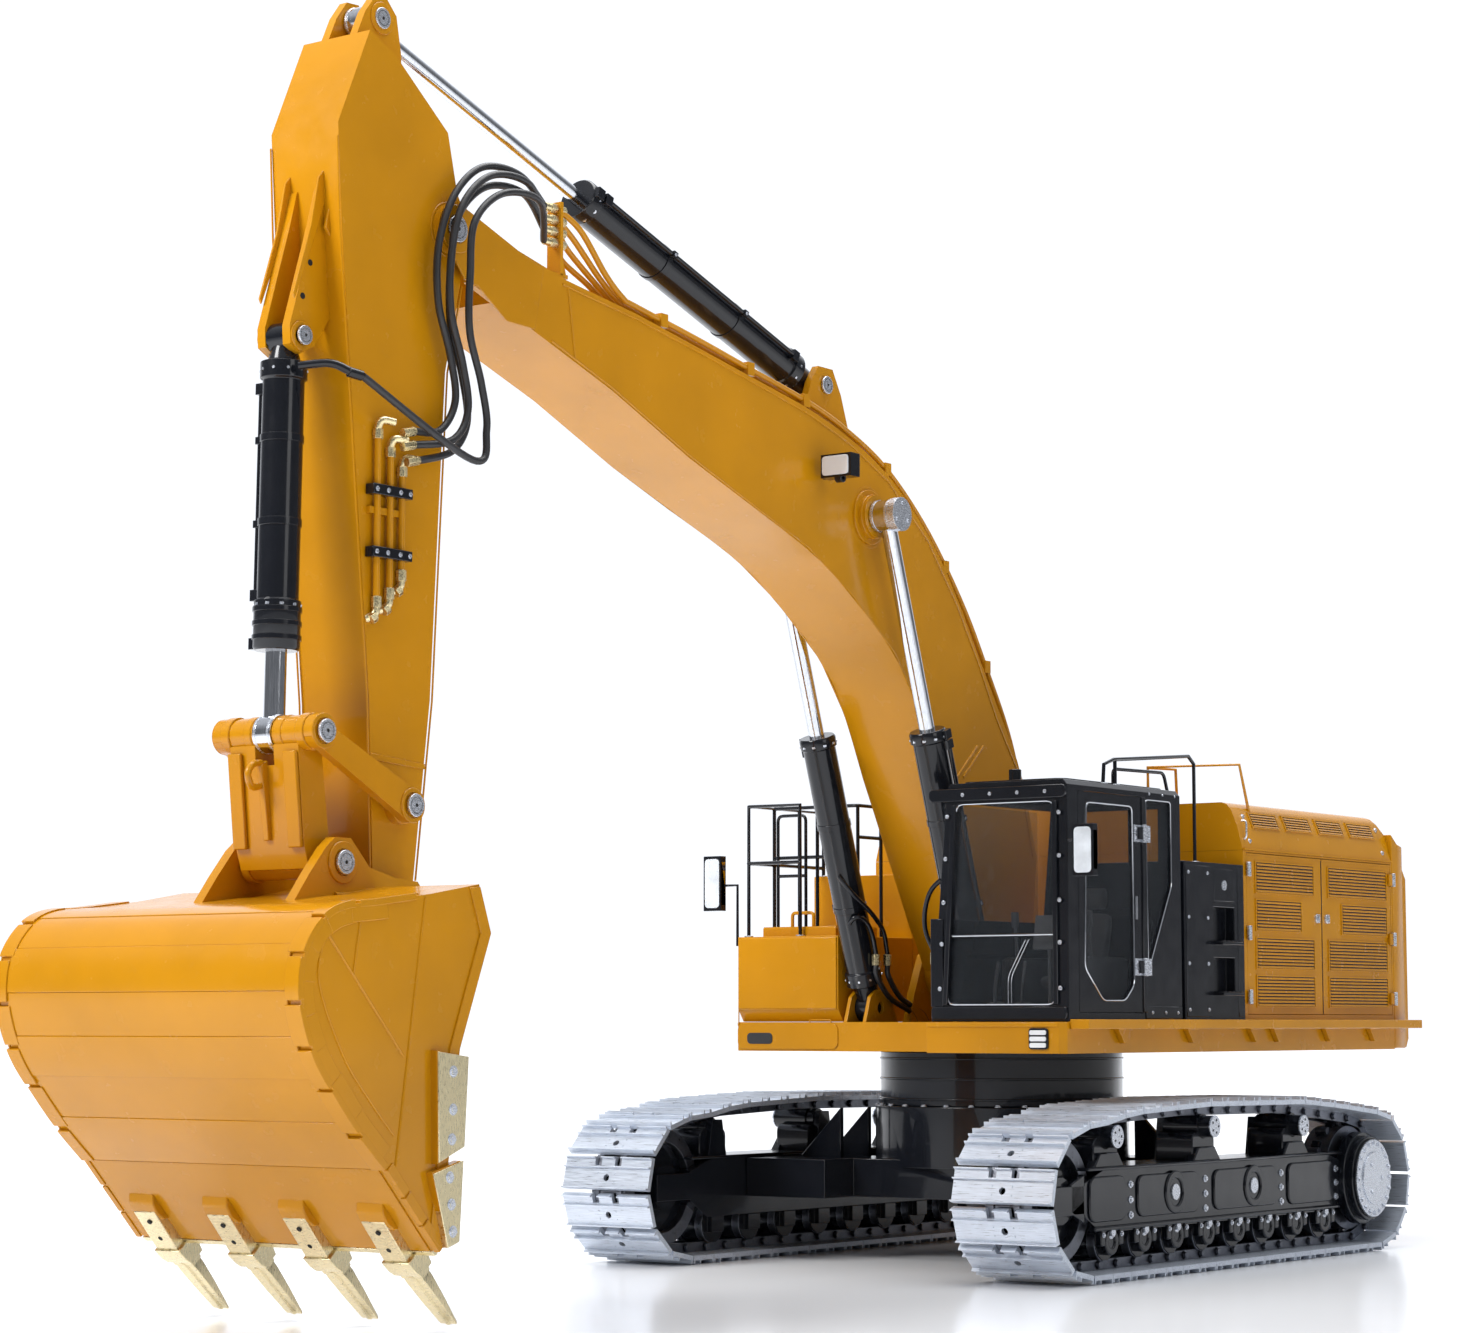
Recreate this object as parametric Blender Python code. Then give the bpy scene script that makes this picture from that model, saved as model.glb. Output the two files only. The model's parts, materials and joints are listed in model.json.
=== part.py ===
"""Radio-controlled hydraulic excavator, one eighth of a large mining-class machine.

Metres, +Z up. The front of the machine looks along -Y and the cab is on the +X side.
Inside this script y is measured from the slew axis. The last step moves everything by SHIFT_Y,
so that the box of the whole object is centred on the origin.
"""

import math

import bmesh
import bpy
from mathutils import Matrix, Vector

# ---- driving dimensions
SHIFT_Y = 0.3055
BOOM_X = -0.015            # middle plane of boom, stick and bucket
GAUGE = 0.446
SHOE_WIDTH = 0.104
SHOE_PITCH = 0.0325
WHEEL_Y = 0.295
WHEEL_Z = 0.073
DECK_LOW = 0.204
DECK_TOP = 0.233
HOUSE_X = 0.222
HOUSE_TOP = 0.454
GAP = 0.0003
WALL = 0.005

BOOM_HALF = 0.0435
FORK_HALF = 0.0370
STICK_HALF = 0.0362
EAR_INNER = 0.0440
BUCKET_HALF = 0.158
BOOM_CYLINDER_X = 0.0645

BOOM_FOOT = (-0.020, 0.285)
LIFT_FOOT = (-0.120, 0.247)
LIFT_EYE = (-0.280, 0.713)
BOOM_TIP = (-0.883, 0.879)
CROWD_BASE = (-0.318, 0.838)
CROWD_EYE = (-0.950, 1.044)
CURL_BASE = (-1.037, 0.768)
LINK_TOP = (-1.043, 0.455)
LINK_STICK = (-0.940, 0.403)
BUCKET_PIN = (-0.944, 0.322)
EAR_PIN = (-1.021, 0.355)

for old in list(bpy.data.objects):
    bpy.data.objects.remove(old, do_unlink=True)
SCENE = bpy.context.scene


def material(name, colour, roughness, metallic):
    made = bpy.data.materials.new(name)
    made.use_nodes = True
    shader = made.node_tree.nodes["Principled BSDF"]
    shader.inputs["Base Color"].default_value = (*colour, 1)
    shader.inputs["Roughness"].default_value = roughness
    shader.inputs["Metallic"].default_value = metallic
    return made


YELLOW = ((0.78, 0.36, 0.02), 0.3, 0.0)
BLACK = ((0.012, 0.012, 0.014), 0.3, 0.0)
STEEL = ((0.72, 0.72, 0.73), 0.25, 1.0)
SHOE = ((0.60, 0.61, 0.63), 0.35, 1.0)
BRASS = ((0.72, 0.62, 0.38), 0.35, 1.0)
RUBBER = ((0.02, 0.02, 0.02), 0.5, 0.0)
PLASTIC = ((0.04, 0.04, 0.045), 0.6, 0.0)


def mm(points):
    return [(a * 0.001, b * 0.001) for a, b in points]


# ---- shapes, each a hidden working solid until finish() makes a node of it
def solid(bm):
    bmesh.ops.recalc_face_normals(bm, faces=bm.faces)
    if bm.calc_volume(signed=True) < 0:
        bmesh.ops.reverse_faces(bm, faces=bm.faces)
    mesh = bpy.data.meshes.new("work")
    bm.to_mesh(mesh)
    bm.free()
    made = bpy.data.objects.new("work", mesh)
    SCENE.collection.objects.link(made)
    return made


def prism(axis, outline, low, high):
    """An outline in the plane across the axis, drawn out from low to high along it."""
    place = {
        "X": lambda a, b, c: (c, a, b),
        "Y": lambda a, b, c: (a, c, b),
        "Z": lambda a, b, c: (a, b, c),
    }[axis]
    bm = bmesh.new()
    ends = [[bm.verts.new(place(a, b, c)) for a, b in outline] for c in (low, high)]
    bm.faces.new(ends[0])
    bm.faces.new(ends[1])
    for i in range(len(outline)):
        j = (i + 1) % len(outline)
        bm.faces.new((ends[0][i], ends[0][j], ends[1][j], ends[1][i]))
    return solid(bm)


def box(x, y, z):
    return prism("Z", [(x[0], y[0]), (x[1], y[0]), (x[1], y[1]), (x[0], y[1])], z[0], z[1])


def smooth_path(points, count):
    """Points evenly placed in parameter on a Catmull-Rom curve through the given ones."""
    ends = [points[0], *points, points[-1]]
    path = []
    spans = len(points) - 1
    for i in range(count):
        place = i * spans / (count - 1)
        k = min(int(place), spans - 1)
        t = place - k
        a, b, c, d = (Vector(p) for p in ends[k : k + 4])
        square = (2 * a - 5 * b + 4 * c - d) * t**2
        cube = (3 * b - a - 3 * c + d) * t**3
        path.append(0.5 * (2 * b + (c - a) * t + square + cube))
    return path


def curve_through(points, count):
    """Points in a plane on a smooth curve through the given ones."""
    return [(p.x, p.y) for p in smooth_path([(a, b, 0) for a, b in points], count)]


def circle(centre, radius, count):
    turn = 2 * math.pi / count
    return [
        (centre[0] + radius * math.cos(turn * (i + 0.5)), centre[1] + radius * math.sin(turn * (i + 0.5)))
        for i in range(count)
    ]


def disc(axis, centre, radius, low, high, count=16):
    return prism(axis, circle(centre, radius, count), low, high)


def bar(start, end, radius, count=14):
    """A round bar between two points in space."""
    start = Vector(start)
    end = Vector(end)
    along = end - start
    made = disc("Z", (0, 0), radius, 0, along.length, count)
    made.data.transform(Matrix.Translation(start) @ along.to_track_quat("Z", "Y").to_matrix().to_4x4())
    return made


def combine(base, others, operation):
    for other in others:
        step = base.modifiers.new("step", "BOOLEAN")
        step.solver = "EXACT"
        step.operation = operation
        step.object = other
    graph = bpy.context.evaluated_depsgraph_get()
    mesh = bpy.data.meshes.new_from_object(base.evaluated_get(graph))
    base.modifiers.clear()
    base.data = mesh
    for other in others:
        bpy.data.objects.remove(other, do_unlink=True)
    return base


def add(base, *others):
    return combine(base, others, "UNION")


def cut(base, *others):
    return combine(base, others, "DIFFERENCE")


def finish(name, base, look, smooth=False):
    base.name = name
    base.data.name = name
    base.data.materials.clear()
    base.data.materials.append(material(name, *look))
    for face in base.data.polygons:
        face.use_smooth = smooth
        face.material_index = 0
    return base


def mirrored(made, about=0.0):
    """The working solid turned over to the other side of the plane x = about."""
    made.data.transform(Matrix.Translation((2 * about, 0, 0)) @ Matrix.Scale(-1, 4, (1, 0, 0)))
    made.data.flip_normals()
    return made


def sided(name, build, look, about=0.0, smooth=False):
    finish(name + "_l", build(), look, smooth)
    finish(name + "_r", mirrored(build(), about), look, smooth)


def rail(points, radius, count=8):
    """A bent tube through the points, as one closed body."""
    curve = bpy.data.curves.new("work", "CURVE")
    curve.dimensions = "3D"
    curve.bevel_depth = radius
    curve.bevel_resolution = (count - 4) // 2
    curve.use_fill_caps = True
    line = curve.splines.new("POLY")
    line.points.add(len(points) - 1)
    for point, place in zip(line.points, points):
        point.co = (*place, 1)
    made = bpy.data.objects.new("work", curve)
    SCENE.collection.objects.link(made)
    graph = bpy.context.evaluated_depsgraph_get()
    mesh = bpy.data.meshes.new_from_object(made.evaluated_get(graph))
    bpy.data.objects.remove(made, do_unlink=True)
    bm = bmesh.new()
    bm.from_mesh(mesh)
    bmesh.ops.remove_doubles(bm, verts=bm.verts, dist=0.00001)
    return solid(bm)


# ---- undercarriage, built for the left side and turned over for the right
TRACK_X = GAUGE / 2
TRACK_IN = TRACK_X - SHOE_WIDTH / 2
TRACK_OUT = TRACK_X + SHOE_WIDTH / 2
RAIL_DEEP = 0.015
TOP_RUN = mm([(-272, 147), (-215, 156.5), (-70, 161.5), (128, 160), (205, 154.5)])


def track_path(radius, inset):
    """The closed side outline of the track, radius about the wheels and inset under the top run."""
    path = []
    for step in range(10):
        angle = math.radians(-90 + 20 * step)
        path.append((WHEEL_Y + radius * math.cos(angle), WHEEL_Z + radius * math.sin(angle)))
    path += [(y, z - inset) for y, z in reversed(TOP_RUN)]
    for step in range(10):
        angle = math.radians(90 + 20 * step)
        path.append((-WHEEL_Y + radius * math.cos(angle), WHEEL_Z + radius * math.sin(angle)))
    return path


def stepped(path, pitch, depth):
    """The outline cut into shoes: each one has a raised front edge, so the outline is stepped."""
    closed = path + [path[0]]
    lengths = [math.dist(closed[i], closed[i + 1]) for i in range(len(path))]
    count = round(sum(lengths) / pitch)
    pitch = sum(lengths) / count
    points = []
    for shoe in range(count):
        for part, lift in ((0.02, depth), (0.24, depth), (0.27, 0.0), (0.98, 0.0)):
            rest = (shoe + part) * pitch
            side = 0
            while rest > lengths[side]:
                rest -= lengths[side]
                side += 1
            (ay, az), (by, bz) = closed[side], closed[side + 1]
            share = rest / lengths[side]
            out = ((bz - az) / lengths[side], -(by - ay) / lengths[side])
            points.append((ay + (by - ay) * share + out[0] * lift, az + (bz - az) * share + out[1] * lift))
    return points


def track_belt():
    shoes = prism("X", stepped(track_path(WHEEL_Z - 0.0035, 0.0035), SHOE_PITCH, 0.0035), TRACK_IN, TRACK_OUT)
    hollow = prism("X", track_path(WHEEL_Z - 0.0080, 0.0080), TRACK_IN - 0.01, TRACK_OUT + 0.01)
    rails = [
        cut(
            prism("X", track_path(WHEEL_Z - 0.0070, 0.0070), x - 0.0045, x + 0.0045),
            prism("X", track_path(WHEEL_Z - RAIL_DEEP, RAIL_DEEP), x - 0.02, x + 0.02),
        )
        for x in (TRACK_X - 0.0135, TRACK_X + 0.0135)
    ]
    return add(cut(shoes, hollow), *rails)


sided("track_belt", track_belt, SHOE)

ROLLER_YS = [-0.215 + 0.0617 * i for i in range(8)]
CARRIERS = (("front", -0.215, 0.1287), ("mid", -0.028, 0.1334), ("rear", 0.159, 0.1300))


def track_frame():
    side = [(-262, 58), (-235, 42), (238, 42), (255, 56), (255, 92), (225, 100), (-225, 100), (-262, 88)]
    frame = prism("X", mm(side), 0.196, 0.249)
    for y in (-WHEEL_Y, WHEEL_Y):
        frame = cut(frame, disc("X", (y, WHEEL_Z), 0.0600, 0.2135, 0.2325, 28))
    parts = []
    for x in ((0.196, 0.2015), (0.2440, 0.249)):
        parts.append(box(x, (-0.316, -0.250), (0.060, 0.086)))
    for y in ROLLER_YS:
        parts.append(disc("X", (y, 0.0335), 0.0180, 0.2035, 0.2425, 12))
        for x in ((0.1975, 0.2040), (0.2420, 0.2485)):
            parts.append(box(x, (y - 0.010, y + 0.010), (0.0265, 0.047)))
    for _, y, z in CARRIERS:
        post = [(y - 0.016, 0.096), (y + 0.016, 0.096), (y + 0.008, z + 0.008), (y - 0.008, z + 0.008)]
        parts.append(prism("X", post, 0.198, 0.2055))
    parts.append(box((0.196, 0.2015), (0.240, 0.300), (0.050, 0.096)))
    parts.append(disc("X", (WHEEL_Y, WHEEL_Z), 0.037, 0.196, 0.2060, 20))
    return add(frame, *parts)


sided("track_frame", track_frame, BLACK)


def idler():
    wheel = disc("X", (-WHEEL_Y, WHEEL_Z), 0.0572, 0.2147, 0.2313, 28)
    return add(wheel, disc("X", (-WHEEL_Y, WHEEL_Z), 0.022, 0.2020, 0.2435, 16))


def sprocket():
    teeth = 17
    outline = []
    for tooth in range(teeth):
        for part, radius in ((0.0, 0.0500), (0.3, 0.0500), (0.5, 0.0572), (0.8, 0.0572)):
            angle = 2 * math.pi * (tooth + part) / teeth
            outline.append((WHEEL_Y + radius * math.cos(angle), WHEEL_Z + radius * math.sin(angle)))
    wheel = prism("X", outline, 0.2185, 0.2275)
    drum = disc("X", (WHEEL_Y, WHEEL_Z), 0.034, 0.2063, 0.2560, 24)
    flange = disc("X", (WHEEL_Y, WHEEL_Z), 0.0405, 0.2540, 0.2660, 28)
    return add(wheel, drum, flange)


def carrier(y, z):
    wheel = disc("X", (y, z), 0.0105, 0.2058, 0.2560, 16)
    return add(wheel, disc("X", (y, z), 0.0122, 0.2150, 0.2440, 16))


sided("idler", idler, BLACK)
sided("sprocket", sprocket, BLACK)
for place, y, z in CARRIERS:
    sided("carrier_" + place, lambda y=y, z=z: carrier(y, z), BLACK)

FRAME_OUTLINE = mm([(-195.7, -170), (-195.7, -105), (-120, -60), (-120, 60), (-195.7, 105), (-195.7, 170)])
BEAM = FRAME_OUTLINE + [(-x, y) for x, y in reversed(FRAME_OUTLINE)]
under = prism("Z", BEAM, 0.060, 0.098)
under = cut(
    under,
    box((-0.10, 0.10), (0.120, 0.20), (0.0, 0.2)),
    box((-0.10, 0.10), (-0.20, -0.120), (0.0, 0.2)),
)
under = add(under, disc("Z", (0, 0), 0.128, 0.090, 0.150, 32))
finish("car_body", under, BLACK)
finish("slew_ring", disc("Z", (0, 0), 0.122, 0.1503, DECK_LOW - GAP, 40), BLACK)

# ---- rotating deck
deck = prism(
    "Z",
    mm([
        (-222, -148), (-88, -148), (66, -148), (72, -250), (216, -250), (222, -244), (222, 447),
        (-222, 447),
    ]),
    DECK_LOW,
    DECK_TOP,
)
FOOT_PLATE = mm([(-80, 228), (58, 228), (40, 262), (5, 309), (-28, 314), (-52, 300), (-70, 262)])
parts = []
for side in (-1, 1):
    near, far = sorted((BOOM_X + side * (BOOM_HALF + GAP), BOOM_X + side * (BOOM_HALF + 0.009)))
    parts.append(prism("X", FOOT_PLATE, near, far))
    for inner in (-0.0135, 0.0093):
        low = BOOM_X + side * BOOM_CYLINDER_X + inner
        lug = mm([(-148, 230), (-88, 230), (-102, 258), (-112, 265), (-128, 265), (-138, 258)])
        parts.append(prism("X", lug, low, low + 0.0042))
deck = add(deck, *parts)
deck = cut(
    deck,
    disc("X", BOOM_FOOT, 0.0103, -0.2, 0.2, 20),
    disc("X", LIFT_FOOT, 0.0058, -0.2, 0.2, 16),
)
finish("deck", deck, YELLOW)

walk = prism("X", mm([(-240, 226.5), (473, 226.5), (473, 235.5), (-240, 235.5)]), HOUSE_X + GAP, 0.2425)
gussets = [
    prism(
        "X",
        [(y - 0.012, 0.2275), (y, 0.213), (y + 0.004, 0.213), (y + 0.012, 0.2275)],
        HOUSE_X + GAP,
        HOUSE_X + 0.006,
    )
    for y in (-0.149, -0.015, 0.115, 0.165, 0.280, 0.386)
]
finish("walkway", add(walk, *gussets), YELLOW)

weight = prism(
    "X",
    mm([(447.5, 205), (560, 205), (566, 215), (566, 392), (556, 404), (462, 426), (447.5, 436)]),
    -HOUSE_X,
    HOUSE_X,
)
corners = [
    prism(
        "Z",
        [
            (side * 0.183, 0.60), (side * 0.183, 0.552), (side * 0.222, 0.473), (side * 0.26, 0.473),
            (side * 0.26, 0.60),
        ],
        0.1,
        0.6,
    )
    for side in (-1, 1)
]
finish("counterweight", cut(weight, *corners), YELLOW)

# ---- engine house, with its doors and lifting hood
HOOD_LOW = 0.4050
HOUSE_FRONT = 0.1045
BLOCK_TOP = 0.3897
hull_outline = [
    (-221.7, 104.5), (70, 104.5), (70, -20), (99.5, -20), (99.5, 104.5), (221.7, 104.5), (221.7, 447),
    (-221.7, 447),
]
hull = prism("Z", mm(hull_outline), DECK_TOP + GAP, HOOD_LOW)
hull = cut(
    hull,
    box((-0.2165, 0.2165), (HOUSE_FRONT + WALL, 0.442), (0.2, HOOD_LOW - WALL)),
    box((-0.200, 0.200), (0.125, 0.425), (0.35, 0.5)),
    box((0.06, 0.11), (-0.03, HOUSE_FRONT - GAP), (BLOCK_TOP, 0.5)),
    box((0.20, 0.30), (0.1110, 0.4440), (0.2405, 0.4030)),
)
finish("engine_house", hull, YELLOW)

compartment = box((0.1000, 0.2223), (-0.0197, HOUSE_FRONT - GAP), (DECK_TOP + GAP, BLOCK_TOP))
steps = [box((0.2120, 0.26), (0.040, 0.083), (z, z + 0.034)) for z in (0.262, 0.312)]
finish("side_compartment", cut(compartment, *steps), BLACK)


def hinge_leaves(axis_y, toward, heights):
    """Knuckles on a standing axis outside the wall, with leaves that reach over to the panel."""
    made = []
    for z in heights:
        spans = [
            sorted((axis_y, axis_y + toward * 0.010)),
            sorted((axis_y + toward * 0.002, axis_y + toward * 0.009)),
        ]
        made.append(disc("Z", (HINGE_X, axis_y), 0.0022, z - 0.007, z + 0.007, 10))
        made.append(box((HINGE_X - 0.0018, HINGE_X + 0.0006), spans[0], (z - 0.006, z + 0.006)))
        made.append(box((HINGE_X - 0.0060, HINGE_X), spans[1], (z - 0.005, z + 0.005)))
    return made


HINGE_X = 0.2245
for name, low, high, axis_y, toward in (
    ("engine_door_front", 0.1115, 0.2772, 0.1105, 1),
    ("engine_door_rear", 0.2778, 0.4435, 0.4445, -1),
):
    panel = box((0.2170, 0.2216), (low, high), (0.2410, 0.4025))
    finish(name, add(panel, *hinge_leaves(axis_y, toward, (0.258, 0.322, 0.386))), YELLOW)

hood_half = mm([(221.7, 405.3), (215.5, 430), (209, 446), (204, 452), (198, 454)])
hood = prism("Y", hood_half + [(-x, z) for x, z in reversed(hood_half)], HOUSE_FRONT, 0.447)
hood = cut(
    hood,
    box((-0.2060, 0.2060), (HOUSE_FRONT + WALL, 0.4400), (0.39, 0.4355)),
    prism("X", mm([(431, 454), (431, 470), (470, 470), (470, 410)]), -0.25, 0.25),
)
post_y = 0.121
roof_tube = [
    (0.2080, 0.1455, 0.444), (0.2105, post_y, 0.4925), (0.105, post_y, 0.4945), (0.105, post_y, 0.452),
]
branch_tube = [(0.105, post_y, 0.494), (0.105, 0.180, 0.4955), (0.105, 0.183, 0.452)]
hood = add(
    hood,
    disc("Y", (-0.2217, 0.4085), 0.0026, 0.115, 0.420, 12),
    rail(roof_tube, 0.0017),
    rail(branch_tube, 0.0017),
)
finish("hood", hood, YELLOW)

# ---- machinery inside the house
pump = add(
    box((-0.080, 0.080), (0.200, 0.330), (0.2336, 0.330)),
    disc("Y", (0.0, 0.300), 0.032, 0.325, 0.400, 20),
    disc("Y", (-0.045, 0.270), 0.020, 0.150, 0.205, 16),
    disc("Y", (0.045, 0.270), 0.020, 0.150, 0.205, 16),
)
finish("pump_unit", pump, PLASTIC)
valves = box((-0.180, -0.110), (0.150, 0.300), (0.2336, 0.285))
spools = [disc("X", (0.165 + 0.024 * i, 0.262), 0.007, -0.112, -0.095, 10) for i in range(6)]
finish("valve_block", add(valves, *spools), BRASS)

# ---- cab
CAB_FRONT = -0.241
CAB_BACK = -0.026
shell = prism(
    "Y",
    mm([(72, 233.4), (222, 233.4), (222, 452), (218, 457), (95, 457), (91, 452)]),
    CAB_FRONT,
    CAB_BACK,
)
room = prism("Y", mm([(78, 239), (217, 239), (217, 450), (96, 450)]), CAB_FRONT + WALL, CAB_BACK - WALL)
shell = cut(
    shell,
    room,
    prism("Y", mm([(90, 249), (208, 249), (208, 437), (101, 437)]), CAB_FRONT - 0.01, CAB_FRONT + 0.02),
    box((0.210, 0.24), (-0.2215, -0.1025), (0.2415, 0.4475)),
    prism("X", mm([(-94, 445), (-45, 445), (-45, 364), (-92, 281)]), 0.21, 0.24),
    box((0.06, 0.12), (-0.220, -0.050), (0.330, 0.440)),
    box((0.115, 0.200), (CAB_BACK - 0.02, CAB_BACK + 0.01), (0.345, 0.440)),
)
shell = add(shell, disc("Z", (0.1503, -0.2147), 0.0060, 0.4541, 0.470, 16))
finish("cab", shell, BLACK)

door = prism("X", mm([(-221, 242), (-103, 242), (-103, 447), (-221, 447)]), 0.2172, 0.2218)
pane = prism(
    "X",
    mm([(-206, 437), (-120, 437), (-119, 268), (-137, 253), (-178, 253), (-211, 283)]),
    0.20,
    0.24,
)
door = cut(door, pane)
door = add(door, *hinge_leaves(-0.1020, -1, (0.285, 0.412)))
finish("cab_door", door, BLACK)

seat = prism(
    "X",
    mm([(-135, 262), (-80, 262), (-62, 350), (-74, 352), (-90, 285), (-138, 280)]),
    0.122,
    0.174,
)
finish("seat", add(seat, box((0.132, 0.164), (-0.125, -0.085), (0.2433, 0.265))), PLASTIC)
consoles = [box((x, x + 0.011), (-0.165, -0.085), (0.240, 0.292)) for x in (0.1850, 0.1030)]
finish("console", add(box((0.100, 0.200), (-0.170, -0.080), (0.2393, 0.2430)), *consoles), PLASTIC)
for name, x in (("lever_l", 0.1905), ("lever_r", 0.1085)):
    stalk = bar((x, -0.145, 0.2925), (x, -0.148, 0.325), 0.0016, 8)
    knob = bar((x, -0.1478, 0.323), (x, -0.1492, 0.338), 0.0038, 10)
    finish(name, add(stalk, knob), PLASTIC)

# ---- right-hand boxes, rails and mirrors
front_box = prism(
    "X",
    mm([(-139, 233.4), (-148, 246), (-148, 319), (-12.3, 319), (-12.3, 233.4)]),
    -HOUSE_X,
    -0.0985,
)
finish("tool_box", add(front_box, box((-0.200, -0.110), (-0.135, -0.060), (0.318, 0.328))), YELLOW)
finish("tank", box((-HOUSE_X, -0.0985), (-0.012, 0.1035), (DECK_TOP + 0.0004, 0.385)), YELLOW)


RAIL_R = 0.0019
top = 0.452
side_x = -0.214
guard = rail(
    [(side_x, -0.140, 0.3195), (side_x, -0.140, top), (side_x, -0.006, top), (side_x, -0.006, 0.3855)],
    RAIL_R,
)
guard = add(
    guard,
    rail([(side_x, -0.095, 0.3195), (side_x, -0.095, top)], RAIL_R),
    rail([(side_x, -0.050, 0.3195), (side_x, -0.050, top)], RAIL_R),
    rail([(side_x, -0.141, 0.394), (side_x, -0.005, 0.394)], RAIL_R),
    rail([(side_x, -0.140, top), (-0.150, -0.140, top), (-0.150, -0.140, 0.3195)], RAIL_R),
    rail([(side_x, -0.140, 0.394), (-0.149, -0.140, 0.394)], RAIL_R),
)
finish("rail_right", guard, BLACK, True)
rail_x = 0.2115
roof_points = [
    (-0.156, 0.4573), (-0.154, 0.476), (-0.136, 0.4815), (0.012, 0.4940), (0.023, 0.487),
    (0.023, 0.3900),
]
roof_rail = add(
    rail([(rail_x, y, z) for y, z in roof_points], RAIL_R),
    rail([(rail_x, -0.133, 0.4573), (rail_x, -0.133, 0.4820)], RAIL_R),
)
finish("rail_roof", roof_rail, BLACK, True)


def mirror(x, y, z_low, z_high, arm):
    glass = box((x - 0.011, x + 0.011), (y - 0.0045, y + 0.0045), (z_low, z_high))
    return add(glass, rail(arm, 0.0016))


finish(
    "mirror_l",
    mirror(
        0.246,
        -0.250,
        0.366,
        0.414,
        [(0.246, -0.2455, 0.400), (0.2262, -0.2455, 0.400), (0.2262, -0.2355, 0.400)],
    ),
    BLACK,
)
finish(
    "mirror_r",
    mirror(
        -0.250,
        -0.150,
        0.346,
        0.402,
        [(-0.250, -0.1455, 0.372), (-0.2243, -0.1455, 0.372), (-0.2243, -0.1455, 0.310)],
    ),
    BLACK,
)

# ---- boom
UNDER_NOSE = [(-866, 838), (-773, 808), (-676, 776)]
UNDER_BEND = [
    (-565, 732), (-494, 708), (-380, 670), (-309, 634), (-236, 584), (-194, 533), (-154, 459), (-52, 285),
]
OVER_BEND = [
    (25, 400), (-2, 480), (-42, 540), (-80, 592), (-120, 648), (-172, 706), (-243, 757), (-313, 786),
    (-380, 804), (-469, 820), (-547, 834), (-640, 849),
]
OVER_NOSE = [(-740, 862), (-805, 876), (-873, 899)]
BOOM_LOW = UNDER_NOSE + curve_through(UNDER_BEND, 26)
BOOM_HIGH = [(12, 290), *curve_through(OVER_BEND, 36), *OVER_NOSE]
body = prism("X", mm(BOOM_LOW + BOOM_HIGH), BOOM_X - BOOM_HALF, BOOM_X + BOOM_HALF)
pieces = [
    disc("X", BOOM_TIP, 0.0215, BOOM_X - BOOM_HALF, BOOM_X + BOOM_HALF, 24),
    disc("X", BOOM_FOOT, 0.0320, BOOM_X - BOOM_HALF, BOOM_X + BOOM_HALF, 24),
    disc("X", BOOM_FOOT, 0.0100, BOOM_X - BOOM_HALF - 0.0115, BOOM_X + BOOM_HALF + 0.0115, 20),
    disc("X", LIFT_EYE, 0.0205, BOOM_X - 0.0535, BOOM_X + 0.0535, 20),
]
for side in (-1, 1):
    near, far = sorted((BOOM_X + side * 0.0133, BOOM_X + side * 0.0205))
    lug = mm([(-362, 790), (-268, 770), (-292, 832), (-306, 855), (-330, 855), (-342, 838)])
    pieces.append(prism("X", lug, near, far))
body = add(body, *pieces)
body = cut(
    body,
    box((BOOM_X - FORK_HALF, BOOM_X + FORK_HALF), (-0.95, -0.832), (0.78, 1.0)),
    disc("X", BOOM_TIP, 0.0093, -0.2, 0.2, 20),
    disc("X", CROWD_BASE, 0.0073, -0.2, 0.2, 16),
)
finish("boom", body, YELLOW)

EDGE = mm([
    (-750, 869.5), (-640, 855.5), (-547, 840.5), (-469, 826.5), (-380, 810.5), (-313, 792.5),
    (-243, 763.5), (-172, 712.5), (-108, 645), (-64, 584),
])
pipes = [rail([(BOOM_X + x, y, z) for y, z in EDGE], 0.0027, 8) for x in (0.0285, 0.0355)]
clamps = [
    box((BOOM_X + 0.0245, BOOM_X + 0.0405), (y - 0.006, y + 0.006), (z - 0.0015, z + 0.0060))
    for y, z in mm([(-640, 855.5), (-380, 810.5)])
]
stand = box((BOOM_X + 0.0255, BOOM_X + 0.0405), (-0.757, -0.741), (0.8665, 0.930))
finish("boom_pipes", add(stand, *pipes, *clamps), YELLOW)

lamp = box((BOOM_X + 0.052, BOOM_X + 0.086), (-0.372, -0.357), (0.738, 0.760))
finish(
    "boom_lamp",
    add(lamp, bar((BOOM_X + BOOM_HALF + 0.0015, -0.356, 0.742), (BOOM_X + 0.070, -0.362, 0.745), 0.003, 8)),
    BLACK,
)


# ---- hydraulic cylinders
def point_along(base, eye, share):
    length = math.dist(base, eye)
    return tuple(b + (e - b) * share / length for b, e in zip(base, eye))


def barrel(x, base, eye, start, length, radius, rod_radius, bore_depth, gland, foot_half, foot_radius):
    """Cylinder tube with its foot eye and neck, end cap, collar at the mouth and a bore for the rod."""

    def at(distance):
        return (x, *point_along(base, eye, distance))

    tube = bar(at(start), at(length - gland), radius, 16)
    tube = add(
        tube,
        bar(at(length - gland - 0.001), at(length), radius * 1.12, 16),
        bar(at(start + 0.004), at(start + 0.016), radius * 1.14, 16),
        bar(at(0.004), at(start + 0.002), foot_half - 0.0002, 10),
        disc("X", base, foot_radius, x - foot_half, x + foot_half, 16),
    )
    return cut(tube, bar(at(length - bore_depth), at(length + 0.01), rod_radius + 0.0004, 12))


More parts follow.
